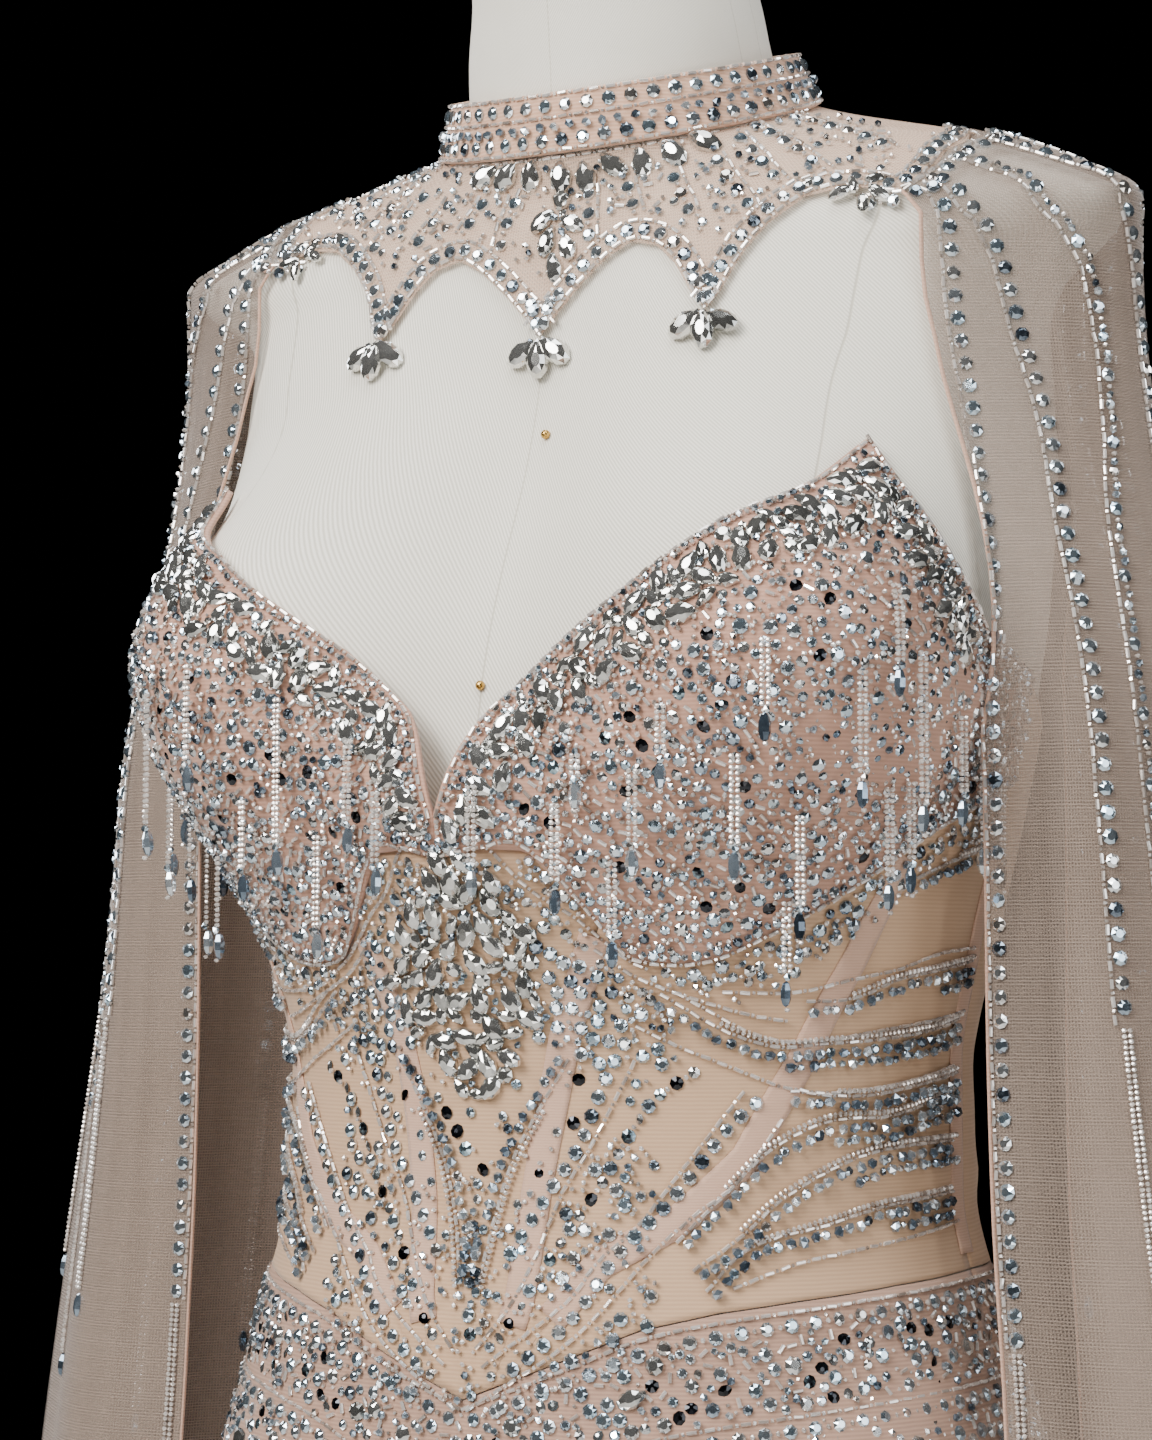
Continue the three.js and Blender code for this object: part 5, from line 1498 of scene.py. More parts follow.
class BeadBag:
    """Collects the beads of one area and joins them to one piece."""

    bench = BeadBench()

    def __init__(self, name: str, seed: int) -> None:
        """Names the piece and seeds its small unevenness."""
        self.name = name
        self.random = np.random.default_rng(seed)
        self.room = Room()
        self.sets: list[tuple[Bead, Array, Array, Array]] = []

    def add(self, bead: Bead, points: Array, along: Array, normals: Array) -> None:
        """Sews beads on.

        Args:
            bead: Their kind.
            points: Their places on the cloth, in millimetres.
            along: The direction of each bead's length.
            normals: The direction off the cloth.
        """
        if not len(points):
            return
        self.sets.append((bead, np.atleast_2d(points), np.atleast_2d(along), np.atleast_2d(normals)))
        for at in np.atleast_2d(points).tolist():
            self.room.take(at, bead.reach)

    def _frames(self, along: Array, normals: Array, bead: Bead) -> tuple[Array, Array, Array]:
        """Gives each bead's three directions, a little uneven."""
        count = len(along)
        up = unit(normals + np.tan(math.radians(bead.tilt)) * self.random.normal(0, 0.6, (count, 3)))
        ahead = unit(along - up * (along * up).sum(axis=1, keepdims=True))
        aside = np.cross(up, ahead)
        twist = np.radians(bead.twist) * self.random.normal(0, 0.6, (count, 1))
        ahead, aside = ahead * np.cos(twist) + aside * np.sin(twist), aside * np.cos(twist) - ahead * np.sin(
            twist)
        return ahead, aside, up

    def make(self, slot: str, *nodes: str) -> bpy.types.Object:
        """Joins all beads to one piece.

        Args:
            slot: Not used.
            nodes: The nodes that it stands for.

        Returns:
            The finished piece.
        """
        points, faces, picks, tones = [], [], [], []
        finishes: list[Finish] = []
        start = 0
        for bead, places, along, normals in self.sets:
            if bead.finish not in finishes:
                finishes.append(bead.finish)
            corners, groups = self.bench.master(bead.shape)
            ahead, aside, up = self._frames(along, normals, bead)
            scale = self.random.normal(1, 0.03, (len(places), 1, 1))
            local = corners[None] * np.array(bead.size) * scale
            made = (places[:, None] + local[..., :1] * ahead[:, None] + local[..., 1:2] * aside[:, None]
                    + local[..., 2:] * up[:, None])
            points.append(made.reshape(-1, 3))
            tone = np.clip(self.random.normal(bead.tone, bead.spread, len(places)), 0.02, 0.98)
            tones.append(np.repeat(tone, len(corners)))
            first = start + np.arange(len(places))[:, None, None] * len(corners)
            for group in groups:
                rows = (group[None] + first).reshape(-1, group.shape[1])
                faces.extend(rows.tolist())
                picks.append(np.full(len(rows), finishes.index(bead.finish)))
            start += len(places) * len(corners)
        piece = new_object(self.name, np.vstack(points), faces, finishes, np.concatenate(picks))
        layer = piece.data.attributes.new("tone", "FLOAT", "POINT")
        layer.data.foreach_set("value", np.concatenate(tones).astype(np.float32))
        return report(piece, slot, *nodes)


@dataclass
class Needle:
    """Sews lines and fields of beads on one surface, on one side of the gown."""

    bag: BeadBag
    surface: Surface
    side: int = 1

    def _smooth(self, stops: Stops) -> Array:
        """Draws a soft curve through the stops, about half a millimetre a step."""
        ends = np.array(stops, float)
        if len(ends) < 3:
            share = np.linspace(0, 1, 60)[:, None]
            return ends[0] * (1 - share) + ends[-1] * share
        padded = np.vstack([2 * ends[0] - ends[1], ends, 2 * ends[-1] - ends[-2]])
        t = np.linspace(0, 1, 24, endpoint=False)[:, None]
        parts = []
        for a, b, c, d in zip(padded[:-3], padded[1:-2], padded[2:-1], padded[3:]):
            parts.append(0.5 * (2 * b + (c - a) * t + (2 * a - 5 * b + 4 * c - d) * t ** 2
                                + (3 * b - a - 3 * c + d) * t ** 3))
        return np.vstack(parts + [ends[-1:]])

    def sew(self, stops: Stops, beads: Sequence[Bead], shift: float = 0.0, skip: float = 0.0) -> None:
        """Sews a line of beads.

        Args:
            stops: Places that the line runs through, on the left side.
            beads: The beads, repeated along the line.
            shift: How far the line lies to its left, in millimetres.
            skip: Length left bare at its start.
        """
        places = self._smooth(stops) * (self.side, 1)
        points = self.surface.points(places[:, 0], places[:, 1])
        normals = self.surface.normals(places[:, 0], places[:, 1])
        along = unit(np.gradient(points, axis=0))
        points = points + np.cross(normals, along) * shift * self.side
        walked = np.concatenate([[0], np.cumsum(np.linalg.norm(np.diff(points, axis=0), axis=1))])
        at, kinds = skip, []
        spots = []
        while at + beads[len(kinds) % len(beads)].pitch <= walked[-1] + 0.5:
            bead = beads[len(kinds) % len(beads)]
            spots.append(at + bead.pitch / 2)
            kinds.append(bead)
            at += bead.pitch
        for bead in dict.fromkeys(beads):
            here = np.array([s for s, kind in zip(spots, kinds) if kind is bead])
            if not len(here):
                continue
            read = [np.stack([np.interp(here, walked, block[:, k]) for k in range(3)], axis=-1)
                    for block in (points, along, normals)]
            self.bag.add(bead, read[0], unit(read[1]), unit(read[2]))

    def scatter(self, region: Callable[[Array, Array], tuple[Array, Array]], bead: Bead, tries: int,
                keep: Callable[[Array, Array], Array] | None = None,
                way: Callable[[Array, Array], Array] | None = None) -> None:
        """Scatters beads where there is room.

        Args:
            region: Turns two shares from 0 to 1 into a place on the surface.
            bead: The kind of bead.
            tries: How many places are tried.
            keep: Gives the chance that a place is used.
            way: Gives each bead's angle on the cloth, in degrees from straight down.
        """
        random = self.bag.random
        a, b = region(random.random(tries), random.random(tries))
        if keep is not None:
            chosen = random.random(tries) < keep(a, b)
            a, b = a[chosen], b[chosen]
        a = a * self.side
        points = self.surface.points(a, b)
        kept = []
        for i, at in enumerate(points.tolist()):
            if self.bag.room.free(at, bead.reach):
                self.bag.room.take(at, bead.reach)
                kept.append(i)
        a, b = a[kept], b[kept]
        if not len(a):
            return
        normals = self.surface.normals(a, b)
        down = unit(np.cross(normals, np.cross(np.array([0, 0, -1.0]), normals)))
        angle = random.uniform(0, 2 * math.pi, len(a)) if way is None else np.radians(way(a, b))
        aside = np.cross(normals, down)
        along = down * np.cos(angle)[:, None] + aside * np.sin(angle)[:, None]
        self.bag.sets.append((bead, points[kept], along, normals))

def far_side(stops: Stops) -> tuple[tuple[float, float], ...]:
    """Gives places with their turns reversed, for lines drawn on the right side."""
    return tuple((-turn, level) for turn, level in stops)


@dataclass(frozen=True)
class CupWork:
    """Beadwork of the cups: edged, clustered along the neckline, strewn over the rest."""

    band: tuple[float, float] = (4.5, 17.0)
    tries: int = 9000

    def _near_edge(self, s: Array, t: Array) -> tuple[Array, Array]:
        """Gives places in the band inside the neckline and the top of the side edge."""
        edge = np.vstack([run(NECKLINE, 8), run(CUP_SIDE[:4], 8)[1:]]) * (TURN_LENGTH, 1)
        at = pick(edge, s)
        way = unit(np.gradient(edge, axis=0))
        aim = pick(way, s)
        inside = self.band[0] + (self.band[1] - self.band[0]) * t
        x = at[:, 0] + aim[:, 1] * inside
        y = at[:, 1] - aim[:, 0] * inside
        turn = x / TURN_LENGTH
        base = np.array(CUP_BASE, float)
        low = np.interp(turn, base[:, 0], base[:, 1]) + 5
        return np.clip(turn, 1.5, 80), np.maximum(y, low)

    def build(self) -> None:
        """Sews both cups."""
        cloth = Layer(GOWN, CUP_GAP + CUP_WALL, True)
        panel = Bodice.cup()
        for side, word in ((1, "left"), (-1, "right")):
            bag = BeadBag(f"cup_{word}_beads", 40 + side)
            needle = Needle(bag, cloth, side)
            top = [tuple(p) for p in NECKLINE]
            needle.sew(top, EDGE_LINE, shift=-1.2)
            needle.sew(top[:-1], (CRYSTAL_SEED, SEED), shift=-3.4)
            needle.sew(CUP_SIDE[:4], EDGE_LINE, shift=-1.2)
            needle.sew(CUP_SIDE, (CRYSTAL_SEED, SEED), shift=-3.6, skip=9)
            needle.sew(CUP_BASE, EDGE_LINE, shift=0.8)
            needle.sew(CUP_BASE, (CRYSTAL_SEED, SMALL_STONE), shift=3.4)
            outward = lambda a, b: self.random_ways(bag, len(a))
            outline = NECKLINE + CUP_SIDE[1:] + CUP_BASE[::-1]
            held = lambda a, b: (inside(outline, a, b + 3) & inside(outline, a - 1.3, b)
                                 & inside(outline, a + 1.3, b)).astype(float)
            for bead, tries in ((LARGE_PEAR, 420), (PEAR, 700), (MARQUISE, 700), (LARGE_STONE, 300),
                                (STONE, 400), (CRYSTAL_SEED, 1500)):
                needle.scatter(self._near_edge, bead, tries, keep=held, way=outward)
            inner = lambda s, t: panel.place(0.01 + 0.98 * s, 0.03 + 0.93 * t)
            darker = lambda a, b: np.clip(0.25 + np.abs(a) / 90 + (130 - b) / 150, 0.1, 1)
            needle.scatter(inner, DARK_SEQUIN, 140, keep=darker)
            needle.scatter(inner, BUGLE, 330, way=lambda a, b: 48 * np.sign(a) + bag.random.normal(0, 14, len(a)))
            needle.scatter(inner, STONE, 500)
            needle.scatter(inner, SILVER_SEQUIN, 900, keep=darker)
            needle.scatter(inner, SMALL_STONE, 2600)
            needle.scatter(inner, GREY_BICONE, 1500, keep=darker)
            needle.scatter(inner, CRYSTAL_SEED, 2600)
            needle.scatter(inner, SEED, self.tries)
            needle.scatter(inner, TINY_SEED, self.tries)
            bag.make("stones")

    @staticmethod
    def random_ways(bag: BeadBag, count: int) -> Array:
        """Gives angles spread widely about straight down."""
        return bag.random.normal(0, 65, count)


@dataclass(frozen=True)
class MidriffWork:
    """Beadwork of the midriff: rays of stones, bugles and sequins, and the centre cluster."""

    BUGLES = (
        ((27, 44), (20, 17), (15, 1), (11, -19), (7, -35), (1, -50)),
        ((44, 34), (33, 6), (27, -9), (21, -20), (16, -33), (3, -53)),
        ((50, 25), (43, 6), (36, -5), (29, -18), (17, -44), (1, -66)),
        ((27, 55), (33, 49), (39, 44), (45, 39), (50, 35)),
        ((33, 66), (46, 52), (56, 50), (66, 53), (78, 56), (88, 59)),
        ((40, 66), (51, 66), (60, 70), (68, 73), (77, 78), (88, 80)),
        ((50, 35), (57, 33), (66, 34), (77, 37), (88, 41)),
        ((41, -28), (51, -21), (63, -17), (75, -14), (87, -11)),
        ((21, 80), (28, 70), (42, 60), (52, 56)),
        ((4, 122), (9, 113), (13, 101), (18, 92), (25, 78), (30, 72)),
    )
    STONES = (
        ((26, 52), (22, 37), (18, 17), (13, 2), (9, -11), (5, -24)),
        ((47, 32), (41, 21), (33, 1), (24, -18), (17, -38), (7, -55)),
    )
    SEQUINS = (((37, 41), (29, 29), (21, 3), (16, -11), (8, -37), (4, -49)),)
    MIXED = (
        ((30, 63), (39, 52), (45, 47), (50, 45), (57, 46), (66, 47), (79, 50), (88, 54)),
        ((53, 60), (61, 61), (69, 67), (78, 70), (88, 73)),
        ((51, 31), (59, 29), (66, 29), (77, 32), (88, 35)),
        ((34, -16), (42, 0), (49, 13), (58, 21), (69, 22), (79, 26), (88, 30)),
        ((36, -25), (44, -14), (51, -2), (61, 8), (71, 12), (87, 13)),
        ((38, -31), (45, -18), (57, -12), (68, -7), (86, -4)),
        ((68, 100), (76, 106), (88, 112)),
        ((15, 46), (10, 30), (5, 12), (2, -8), (0, -30)),
    )
    CLUSTER = ((1, 117), (-5, 102), (-11, 86), (-16, 71), (-11, 50), (-2, 32), (4, 32), (12, 63),
               (13, 86), (8, 105))

    def _in_cluster(self, a: Array, b: Array) -> Array:
        """Tells which places lie in the centre cluster's outline."""
        return inside(self.CLUSTER, a, b).astype(float)

    def build(self) -> None:
        """Sews the midriff."""
        cloth = Layer(GOWN, FORM_GAP + MESH_WALL + TAPE_LIFT, True)
        bag = BeadBag("midriff_beads", 7)
        centre = Needle(bag, cloth)
        area = lambda s, t: (-17 + 31 * s, 30 + 88 * t)
        fan = lambda a, b: np.degrees(np.arctan2(a * TURN_LENGTH, 20 + np.abs(b - 60))) + \
            bag.random.normal(0, 40, len(a))
        for bead, tries in ((LARGE_PEAR, 300), (LARGE_STONE, 150), (PEAR, 700), (MARQUISE, 700),
                            (STONE, 600), (CRYSTAL_SEED, 800)):
            centre.scatter(area, bead, tries, keep=self._in_cluster, way=fan)
        for side in (1, -1):
            needle = Needle(bag, cloth, side)
            for stops in self.BUGLES:
                needle.sew(stops, EDGE_LINE)
            for stops in self.STONES:
                needle.sew(stops, STONE_LINE)
            for stops in self.SEQUINS:
                needle.sew(stops, SEQUIN_LINE)
            for stops in self.MIXED:
                needle.sew(stops, ROW_LINE)
                needle.sew(stops, EDGE_LINE, shift=3.0)
                needle.sew(stops[1:], (SEED,), shift=4.6)
                if len(stops) > 4:
                    needle.sew(stops[3:], (ROW_BEAD, CRYSTAL_SEED), shift=-3.7)
            below = lambda s, t: (86 * s, np.interp(
                86 * s, *np.array(CUP_BASE, float).T) - 3 - 16 * t)
            for bead, tries in ((SILVER_SEQUIN, 90), (STONE, 160), (SMALL_STONE, 420), (GREY_BICONE, 260),
                                (CRYSTAL_SEED, 420), (SEED, 1200)):
                needle.scatter(below, bead, tries, keep=lambda a, b: np.where(np.abs(a) < 40, 0.9, 0.4))
            beside = lambda s, t: (3 + 30 * s, 42 + t * (np.interp(
                3 + 30 * s, *np.array(CUP_BASE, float).T) - 46))
            for bead, tries in ((STONE, 700), (BUGLE, 60), (GREY_BICONE, 120), (CRYSTAL_SEED, 160), (SEED, 160)):
                needle.scatter(beside, bead, tries, keep=lambda a, b: (b > 62 - a).astype(float))
            rays = lambda s, t: (40 * s, -56 + 120 * t)
            for bead, tries in ((DARK_SEQUIN, 26), (SMALL_STONE, 110), (SEED, 160)):
                needle.scatter(rays, bead, tries, keep=lambda a, b: np.where(np.abs(a) * 3 - b < 50, 0.8, 0))
            point = lambda s, t: (30 * s, -66 + 30 * s * s + 66 * t)
            for bead, tries in ((STONE, 90), (GREY_BICONE, 110), (SMALL_STONE, 90), (SEED, 260)):
                needle.scatter(point, bead, tries)
        bag.make("stones")


@dataclass(frozen=True)
class SkirtWork:
    """Beadwork of the skirt's top: lines along the pointed seam and a dense field, thinning out below."""

    lines: tuple[float, ...] = (3.0, 34.0, 70.0)
    full_to: float = -150.0
    gone_at: float = -260.0

    def build(self) -> None:
        """Sews the skirt's front and the start of its backs."""
        cloth = Layer(GOWN, FORM_GAP + MESH_WALL, True)
        bag = BeadBag("skirt_beads", 11)
        seam = np.array(HIP_SEAM, float)
        for side in (1, -1):
            needle = Needle(bag, cloth, side)
            for drop in self.lines:
                stops = [(turn, level - drop) for turn, level in HIP_SEAM]
                if drop == self.lines[0]:
                    stops += [(turn, HIP_LEVEL_BACK - drop) for turn in (104, 120, 136, 152, 168, 179)]
                needle.sew(stops, EDGE_LINE)
                needle.sew(stops, (STONE, SEED), shift=-4.2)
        both = Needle(bag, cloth)
        field_place = lambda s, t: (
            -150 + 300 * s, np.interp(np.abs(-150 + 300 * s), seam[:, 0], seam[:, 1]) - 3 - 215 * t ** 1.4)
        thin = lambda a, b: smoothstep(b, self.gone_at, self.full_to) * (1 - smoothstep(np.abs(a), 84, 150))
        for bead, tries in ((LARGE_PEAR, 60), (LARGE_STONE, 160), (DARK_SEQUIN, 420), (BUGLE, 1500),
                            (STONE, 3400), (SILVER_SEQUIN, 1900), (SMALL_STONE, 5600),
                            (GREY_BICONE, 3400), (CRYSTAL_SEED, 4800), (TINY_SEED, 11000)):
            both.scatter(field_place, bead, tries, keep=thin)
        bag.make("stones")


@dataclass(frozen=True)
class YokeWork:
    """Beadwork of the yoke and the collar."""

    RAYS = (
        ((57, 360), (58, 334)), ((49, 354), (52, 322)), ((38, 349), (41, 322)), ((25, 347), (28, 326)),
        ((64, 366), (65, 338)), ((77, 364), (75, 346)), ((13, 346), (15, 314)),
    )
    TIPS = (((4, 298), (1, 288)), ((-4, 298), (-1, 288)), ((43, 300), (42, 291)), ((40, 300), (41, 291)))
    FAN = ((-27, 358, -50), (-18, 357, -38), (-8, 356, -18), (3, 354, 0), (12, 352, 14), (21, 356, 40),
           (30, 355, 30), (39, 357, 45), (48, 359, 60))
    CENTRE = ((4, 338, 180), (-1, 328, -50), (9, 326, 45), (1, 318, -15), (8, 315, 25), (4, 307, 0))
    CORNERS = ((66, 331, 0), (68, 327, 30), (64, 328, -35), (66, 323, 0), (69, 333, 60), (62, 334, -60))

    # Columns: level above the collar's foot, beads
    COLLAR_ROWS = ((1.9, EDGE_LINE), (5.3, (WIDE_STONE,)), (9.4, PAIR_LINE), (12.6, EDGE_LINE),
                   (16.2, (WIDE_STONE,)), (20.0, EDGE_LINE))

    def build(self) -> None:
        """Sews the yoke's front and back and the collar."""
        cloth = Layer(Yoke.surface, YOKE_MESH)
        bag = BeadBag("yoke_beads", 21)
        middle = Needle(bag, cloth)
        for bead, places in ((HUGE_PEAR, self.FAN), (LARGE_PEAR, self.CENTRE)):
            self._set_stones(bag, cloth, bead, places)
        for side in (1, -1):
            self._set_stones(bag, cloth, MARQUISE, [(side * t, v, side * w) for t, v, w in self.CORNERS])
            needle = Needle(bag, cloth, side)
            edge = [(turn, level) for turn, level in SCALLOP]
            needle.sew(edge, EDGE_LINE, shift=1.2)
            needle.sew(edge, STONE_LINE, shift=4.3)
            needle.sew(edge, EDGE_LINE, shift=7.6)
            needle.sew([(turn, 367) for turn in range(0, 100, 10)], EDGE_LINE)
            for stops in self.TIPS:
                needle.sew(stops, STONE_LINE)
            for stops in self.RAYS:
                needle.sew(stops, (STONE, SEED))
                needle.sew(stops, EDGE_LINE, shift=3.4)
            back = [(turn, level + 1.5) for turn, level in YOKE_BACK_EDGE]
            needle.sew(back, EDGE_LINE)
            needle.sew(back, STONE_LINE, shift=3.6)
        edge = Yoke.scallop()
        area = lambda s, t: (-84 + 168 * s, np.interp(-84 + 168 * s, edge[:, 0], edge[:, 1]) * (1 - t) + 366 * t)
        for bead, tries in ((BUGLE, 90), (SMALL_STONE, 40), (GREY_BICONE, 110), (CRYSTAL_SEED, 200),
                            (SEED, 420)):
            middle.scatter(area, bead, tries)
        bag.make("stones")
        self._collar()

    @staticmethod
    def _set_stones(bag: BeadBag, cloth: Surface, bead: Bead, places: Sequence[Sequence[float]]) -> None:
        """Sets single stones at (turn, level, angle from straight down)."""
        table = np.array(places, float)
        points = cloth.points(table[:, 0], table[:, 1])
        normals = cloth.normals(table[:, 0], table[:, 1])
        down = unit(np.cross(normals, np.cross(np.array([0, 0, -1.0]), normals)))
        angle = np.radians(table[:, 2])[:, None]
        along = -(down * np.cos(angle) + np.cross(normals, down) * np.sin(angle))
        bag.add(bead, points, -along, normals)

    def _collar(self) -> None:
        """Sews the collar's rows all round."""
        bag = BeadBag("collar_beads", 23)
        needle = Needle(bag, Layer(COLLAR, COLLAR_WALL))
        for rise, beads in self.COLLAR_ROWS:
            level = YOKE_TOP_LEVEL + rise
            needle.sew([(turn, level) for turn in range(-178, 179, 4)], beads)
        bag.make("stones")


class CapeSurface(GridSurface):
    """Both capes' outside: a share below zero is read on the right one."""

    def points(self, a: Array, b: Array) -> Array:
        """Gives the points at share a across and share b up."""
        a, b = np.broadcast_arrays(np.asarray(a, float), np.asarray(b, float))
        made = super().points(np.abs(a), b)
        made[..., 0] *= np.where(a < 0, -1, 1)
        return made


@dataclass(frozen=True)
class CapeWork:
    """Beadwork of the capes: lines that run down from the shoulders and end in hanging strands."""

    # Where each line is read: shares up the shoulder, then levels on the hanging part
    SHOULDER = (0.99, 0.94, 0.86)
    LEVELS = (290, 250, 210, 150)
    # Columns: level where the line ends, hanging length, stones, and its share round at each place above
    LINES = (
        (-47, 50, True, (0.05, 0.07, 0.075, 0.088, 0.096, 0.045, 0.02)),
        (54, 100, True, (0.08, 0.11, 0.135, 0.205, 0.235, 0.212, 0.188)),
        (20, 90, False, (0.25, 0.247, 0.283, 0.362, 0.36, 0.315, 0.275)),
        (54, 90, True, (0.42, 0.42, 0.44, 0.465, 0.465, 0.44, 0.42)),
        (-20, 80, False, (0.55, 0.56, 0.58, 0.6, 0.61, 0.62, 0.62)),
        (20, 90, True, (0.68, 0.7, 0.72, 0.74, 0.76, 0.77, 0.78)),
        (50, 80, False, (0.84, 0.85, 0.86, 0.87, 0.88, 0.88, 0.88)),
        (20, 60, False, (0.982,) * 7),
    )

    def _up(self, level: float) -> float:
        """Gives the share up the cape of a level on its hanging part."""
        capes = Capes()
        total = capes.hang_rows + 3 + capes.shoulder_rows
        return (level + 1036) / (302 + 1036) * capes.hang_rows / total

    def build(self) -> None:
        """Sews both capes."""
        cloth = Capes().surface()
        surface = CapeSurface(cloth.grid)
        for side, word in ((1, "left"), (-1, "right")):
            bag = BeadBag(f"cape_{word}_beads", 60 + side)
            needle = Needle(bag, surface, side)
            for end, strand, stones, shares in self.LINES:
                low = shares[-1]
                heights = list(self.SHOULDER) + [self._up(level) for level in self.LEVELS]
                stops = list(zip(shares, heights))
                stops += [(low, self._up(level)) for level in range(100, end, -40)] + [(low, self._up(end))]
                needle.sew(stops, (WIDE_STONE,) if stones else MIXED_LINE, skip=2)
                needle.sew(stops, EDGE_LINE, shift=-3.4, skip=2)
                tail = [(low, self._up(end - step * strand / 4)) for step in range(5)]
                needle.sew(tail, (THREAD_SEED,), shift=1.0)
                needle.sew(tail, (THREAD_SEED,), shift=-1.0)
                last = [(low, self._up(end - strand)), (low, self._up(end - strand - 12))]
                needle.sew(last, (DROP,))
            seam = [(share / 20, 0.992) for share in range(21)]
            needle.sew(seam, (STONE, SEED), shift=-3)
            needle.sew(seam, EDGE_LINE)
            bag.make("stones")


@dataclass(frozen=True)
class Fringe:
    """Double strands of seed beads on the cups, each with a smoky drop at its end."""

    # Columns: turn, level of its top, length with its drop
    LEFT = ((9, 129, 37), (19, 123, 37), (22, 138, 19), (25, 105, 35), (28, 133, 34), (31, 152, 27),
            (38, 137, 39), (40, 171, 32), (47, 93, 35), (46, 119, 40), (49, 162, 44), (56, 128, 39),
            (53, 189, 36), (59, 130, 37), (56, 169, 58), (65, 151, 36), (72, 140, 40), (79, 132, 36))
    RIGHT = ((-40, 163, 56), (-48, 133, 38), (-53, 122, 30), (-54, 113, 38), (-47, 110, 37),
             (-32, 127, 35), (-25, 159, 59), (-23, 115, 41), (-17, 145, 38), (-34, 171, 44),
             (-60, 140, 38), (-67, 151, 36), (-74, 136, 40), (-12, 128, 34))
    SPLIT_LEVEL = 140.0
    CLEAR = 3.9
    STEP = 1.75

    def build(self) -> None:
        """Hangs all strands, in the upper and lower rows of each cup."""
        for word, table in (("left", self.LEFT), ("right", self.RIGHT)):
            for row, chosen in (("upper", [s for s in table if s[1] > self.SPLIT_LEVEL]),
                                ("lower", [s for s in table if s[1] <= self.SPLIT_LEVEL])):
                bag = BeadBag(f"{row}_fringe_{word}_strands", 80 + len(chosen))
                for turn, level, length in chosen:
                    self._strand(bag, turn, level, length)
                bag.make("stones", f"{row}_fringe_{word}")

    def _strand(self, bag: BeadBag, turn: float, level: float, length: float) -> None:
        """Hangs one double strand, straight down and clear of the cloth below."""
        lengths = np.arange(0.5, length - 1, self.STEP)
        levels = level - lengths
        cloth = Layer(GOWN, CUP_GAP + CUP_WALL + self.CLEAR, True)
        under = cloth.points(np.full(len(levels), turn, float), levels)
        reach = np.maximum.accumulate(np.hypot(under[:, 0], under[:, 1]))
        angle = math.atan2(under[0, 0], -under[0, 1])
        outward = np.array([math.sin(angle), -math.cos(angle), 0.0])
        aside = np.array([math.cos(angle), math.sin(angle), 0.0])
        line = outward * reach[:, None]
        line[:, 2] = WAIST_HEIGHT + levels
        drop_at = np.searchsorted(lengths, length - 12)
        thread = line[:drop_at]
        normals = np.tile(outward, (len(thread), 1))
        downs = np.tile((0.0, 0.0, -1.0), (len(thread), 1))
        for shift in (-1.0, 1.0):
            bag.add(THREAD_SEED, thread + aside * shift, downs, normals)
        foot = line[drop_at - 1]
        down = np.array([0, 0, -1.0])
        bag.add(CRYSTAL_SEED, foot + down * 1.8, down, outward)
        bag.add(DROP, foot + down * 7.0, down, outward)
        bag.add(SEED, foot + down * 11.9, down, outward)


@dataclass(frozen=True)
class YokeDrops:
    """Fans of pear stones, under the yoke's three points."""

    PLACES = (("centre", 0.0, 283.0), ("left", 41.5, 286.0), ("right", -41.5, 286.0))
    FAN = (-54, 2, 55)

    def build(self) -> None:
        """Sets the three fans."""
        for word, turn, level in self.PLACES:
            bag = BeadBag(f"yoke_drop_{word}_stones", 90 + int(turn))
            at, side = np.array(turn), np.array(level - 0.4)
            root = FORM.off(at, side, 2.1)
            normal = FORM.normals(at, side)
            down = unit(np.cross(normal, np.cross(np.array([0, 0, -1.0]), normal)))
            aside = np.cross(normal, down)
            for angle in self.FAN:
                a = math.radians(angle)
                way = down * math.cos(a) + aside * math.sin(a)
                bag.add(HUGE_PEAR, root + way * 7.4 + normal * (0.9 if abs(angle) < 40 else 0.1), way,
                        unit(normal + way * 0.25))
            for step in (-1, 0, 1):
                bag.add(CRYSTAL_SEED, root + down * 1.2 + aside * step * 2.6 + normal * 0.6, down, normal)
            bag.make("stones", f"yoke_drop_{word}")


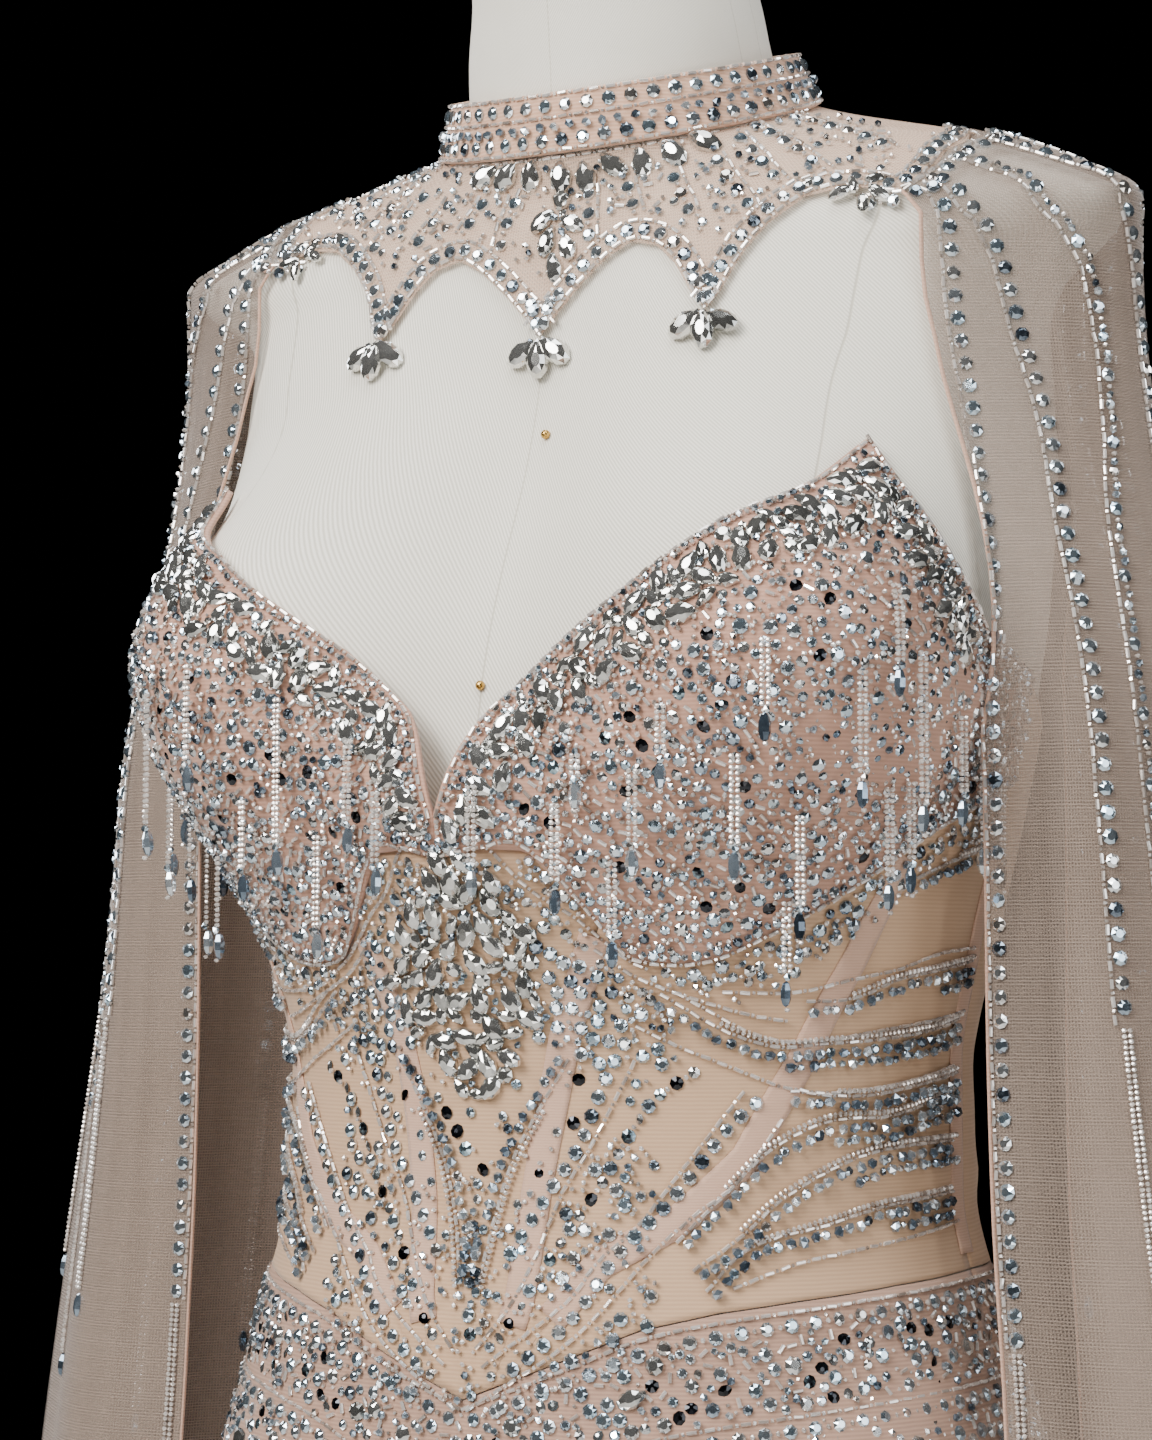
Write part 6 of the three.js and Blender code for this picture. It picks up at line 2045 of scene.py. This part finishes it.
@dataclass(frozen=True)
class Studio:
    """The camera, the soft lights, the floor and the dark backdrop."""

    azimuth: float = 27.6
    distance: float = 1116.2
    height: float = 1135.5
    aside: float = -20.4
    pitch: float = 4.3
    lens: float = 79.3

    # Columns: name, azimuth, elevation, distance, width, height, power in watts, colour
    LIGHTS = (
        ("key", -16.0, 32.0, 2.3, 1.3, 1.3, 92.0, (1.0, 0.98, 0.95)),
        ("fill", 76.0, 6.0, 2.5, 1.3, 1.7, 24.0, (0.93, 0.97, 1.0)),
        ("top", 24.0, 72.0, 2.2, 1.3, 1.0, 30.0, (0.97, 0.99, 1.0)),
        ("low", 30.0, -22.0, 2.2, 1.6, 0.5, 9.0, (1.0, 0.97, 0.94)),
        ("rim_left", -112.0, 16.0, 2.4, 0.5, 1.7, 30.0, (0.94, 0.97, 1.0)),
        ("rim_right", 150.0, 22.0, 2.4, 0.5, 1.6, 26.0, (0.94, 0.97, 1.0)),
        ("glint_left", 4.0, 12.0, 2.0, 0.14, 0.14, 6.0, (1.0, 0.99, 0.97)),
        ("glint_right", 48.0, 36.0, 2.0, 0.14, 0.14, 6.0, (1.0, 0.99, 0.97)),
    )

    def camera(self) -> None:
        """Sets the camera where the photo was taken from."""
        turn = math.radians(self.azimuth)
        spot = Vector((
            self.distance * math.sin(turn) + self.aside * math.cos(turn),
            -self.distance * math.cos(turn) + self.aside * math.sin(turn), self.height)) * MM
        data = bpy.data.cameras.new("photo_camera")
        data.sensor_width = 36
        data.lens = self.lens
        data.clip_start = 0.05
        camera = bpy.data.objects.new("photo_camera", data)
        camera.location = spot
        camera.rotation_euler = (math.radians(90 + self.pitch), 0, turn)
        bpy.context.scene.collection.objects.link(camera)
        bpy.context.scene.camera = camera

    def lights(self) -> None:
        """Hangs the soft lights, hidden from the camera, and darkens the room."""
        aim = Vector((0, 0, 1.2))
        for name, azimuth, elevation, distance, width, height, power, colour in self.LIGHTS:
            a, e = math.radians(azimuth), math.radians(elevation)
            way = Vector((math.sin(a) * math.cos(e), -math.cos(a) * math.cos(e), math.sin(e)))
            data = bpy.data.lights.new(name, "AREA")
            data.shape = "RECTANGLE"
            data.size, data.size_y = width, height
            data.energy = power
            data.color = colour
            lamp = bpy.data.objects.new(name, data)
            lamp.location = aim + way * distance
            lamp.rotation_mode = "QUATERNION"
            lamp.rotation_quaternion = way.to_track_quat("Z", "Y")
            lamp.visible_camera = False
            bpy.context.scene.collection.objects.link(lamp)
        world = bpy.data.worlds.new("dark_room")
        world.use_nodes = True
        world.node_tree.nodes["Background"].inputs["Color"].default_value = (0.0, 0.0, 0.0, 1)
        world.node_tree.nodes["Background"].inputs["Strength"].default_value = 0.0
        bpy.context.scene.world = world

    def floor(self) -> None:
        """Lays a plain pale floor disc."""
        bpy.ops.object.select_all(action="DESELECT")
        bpy.ops.mesh.primitive_circle_add(vertices=96, radius=2.4, fill_type="NGON")
        disc = bpy.context.object
        disc.name = "studio_floor"
        disc.data.materials.append(Finish.FLOOR.material)


def main() -> None:
    """Builds and dresses the whole object."""
    logging.basicConfig(level=logging.INFO, format="%(message)s")
    DressForm().build()
    Bodice().build()
    Skirt().build()
    Yoke().build()
    Capes().build()
    for work in (CupWork(), MidriffWork(), SkirtWork(), YokeWork(), CapeWork(), Fringe(), YokeDrops()):
        work.build()
    studio = Studio()
    studio.floor()
    studio.lights()
    studio.camera()


if __name__ == "__main__":
    main()
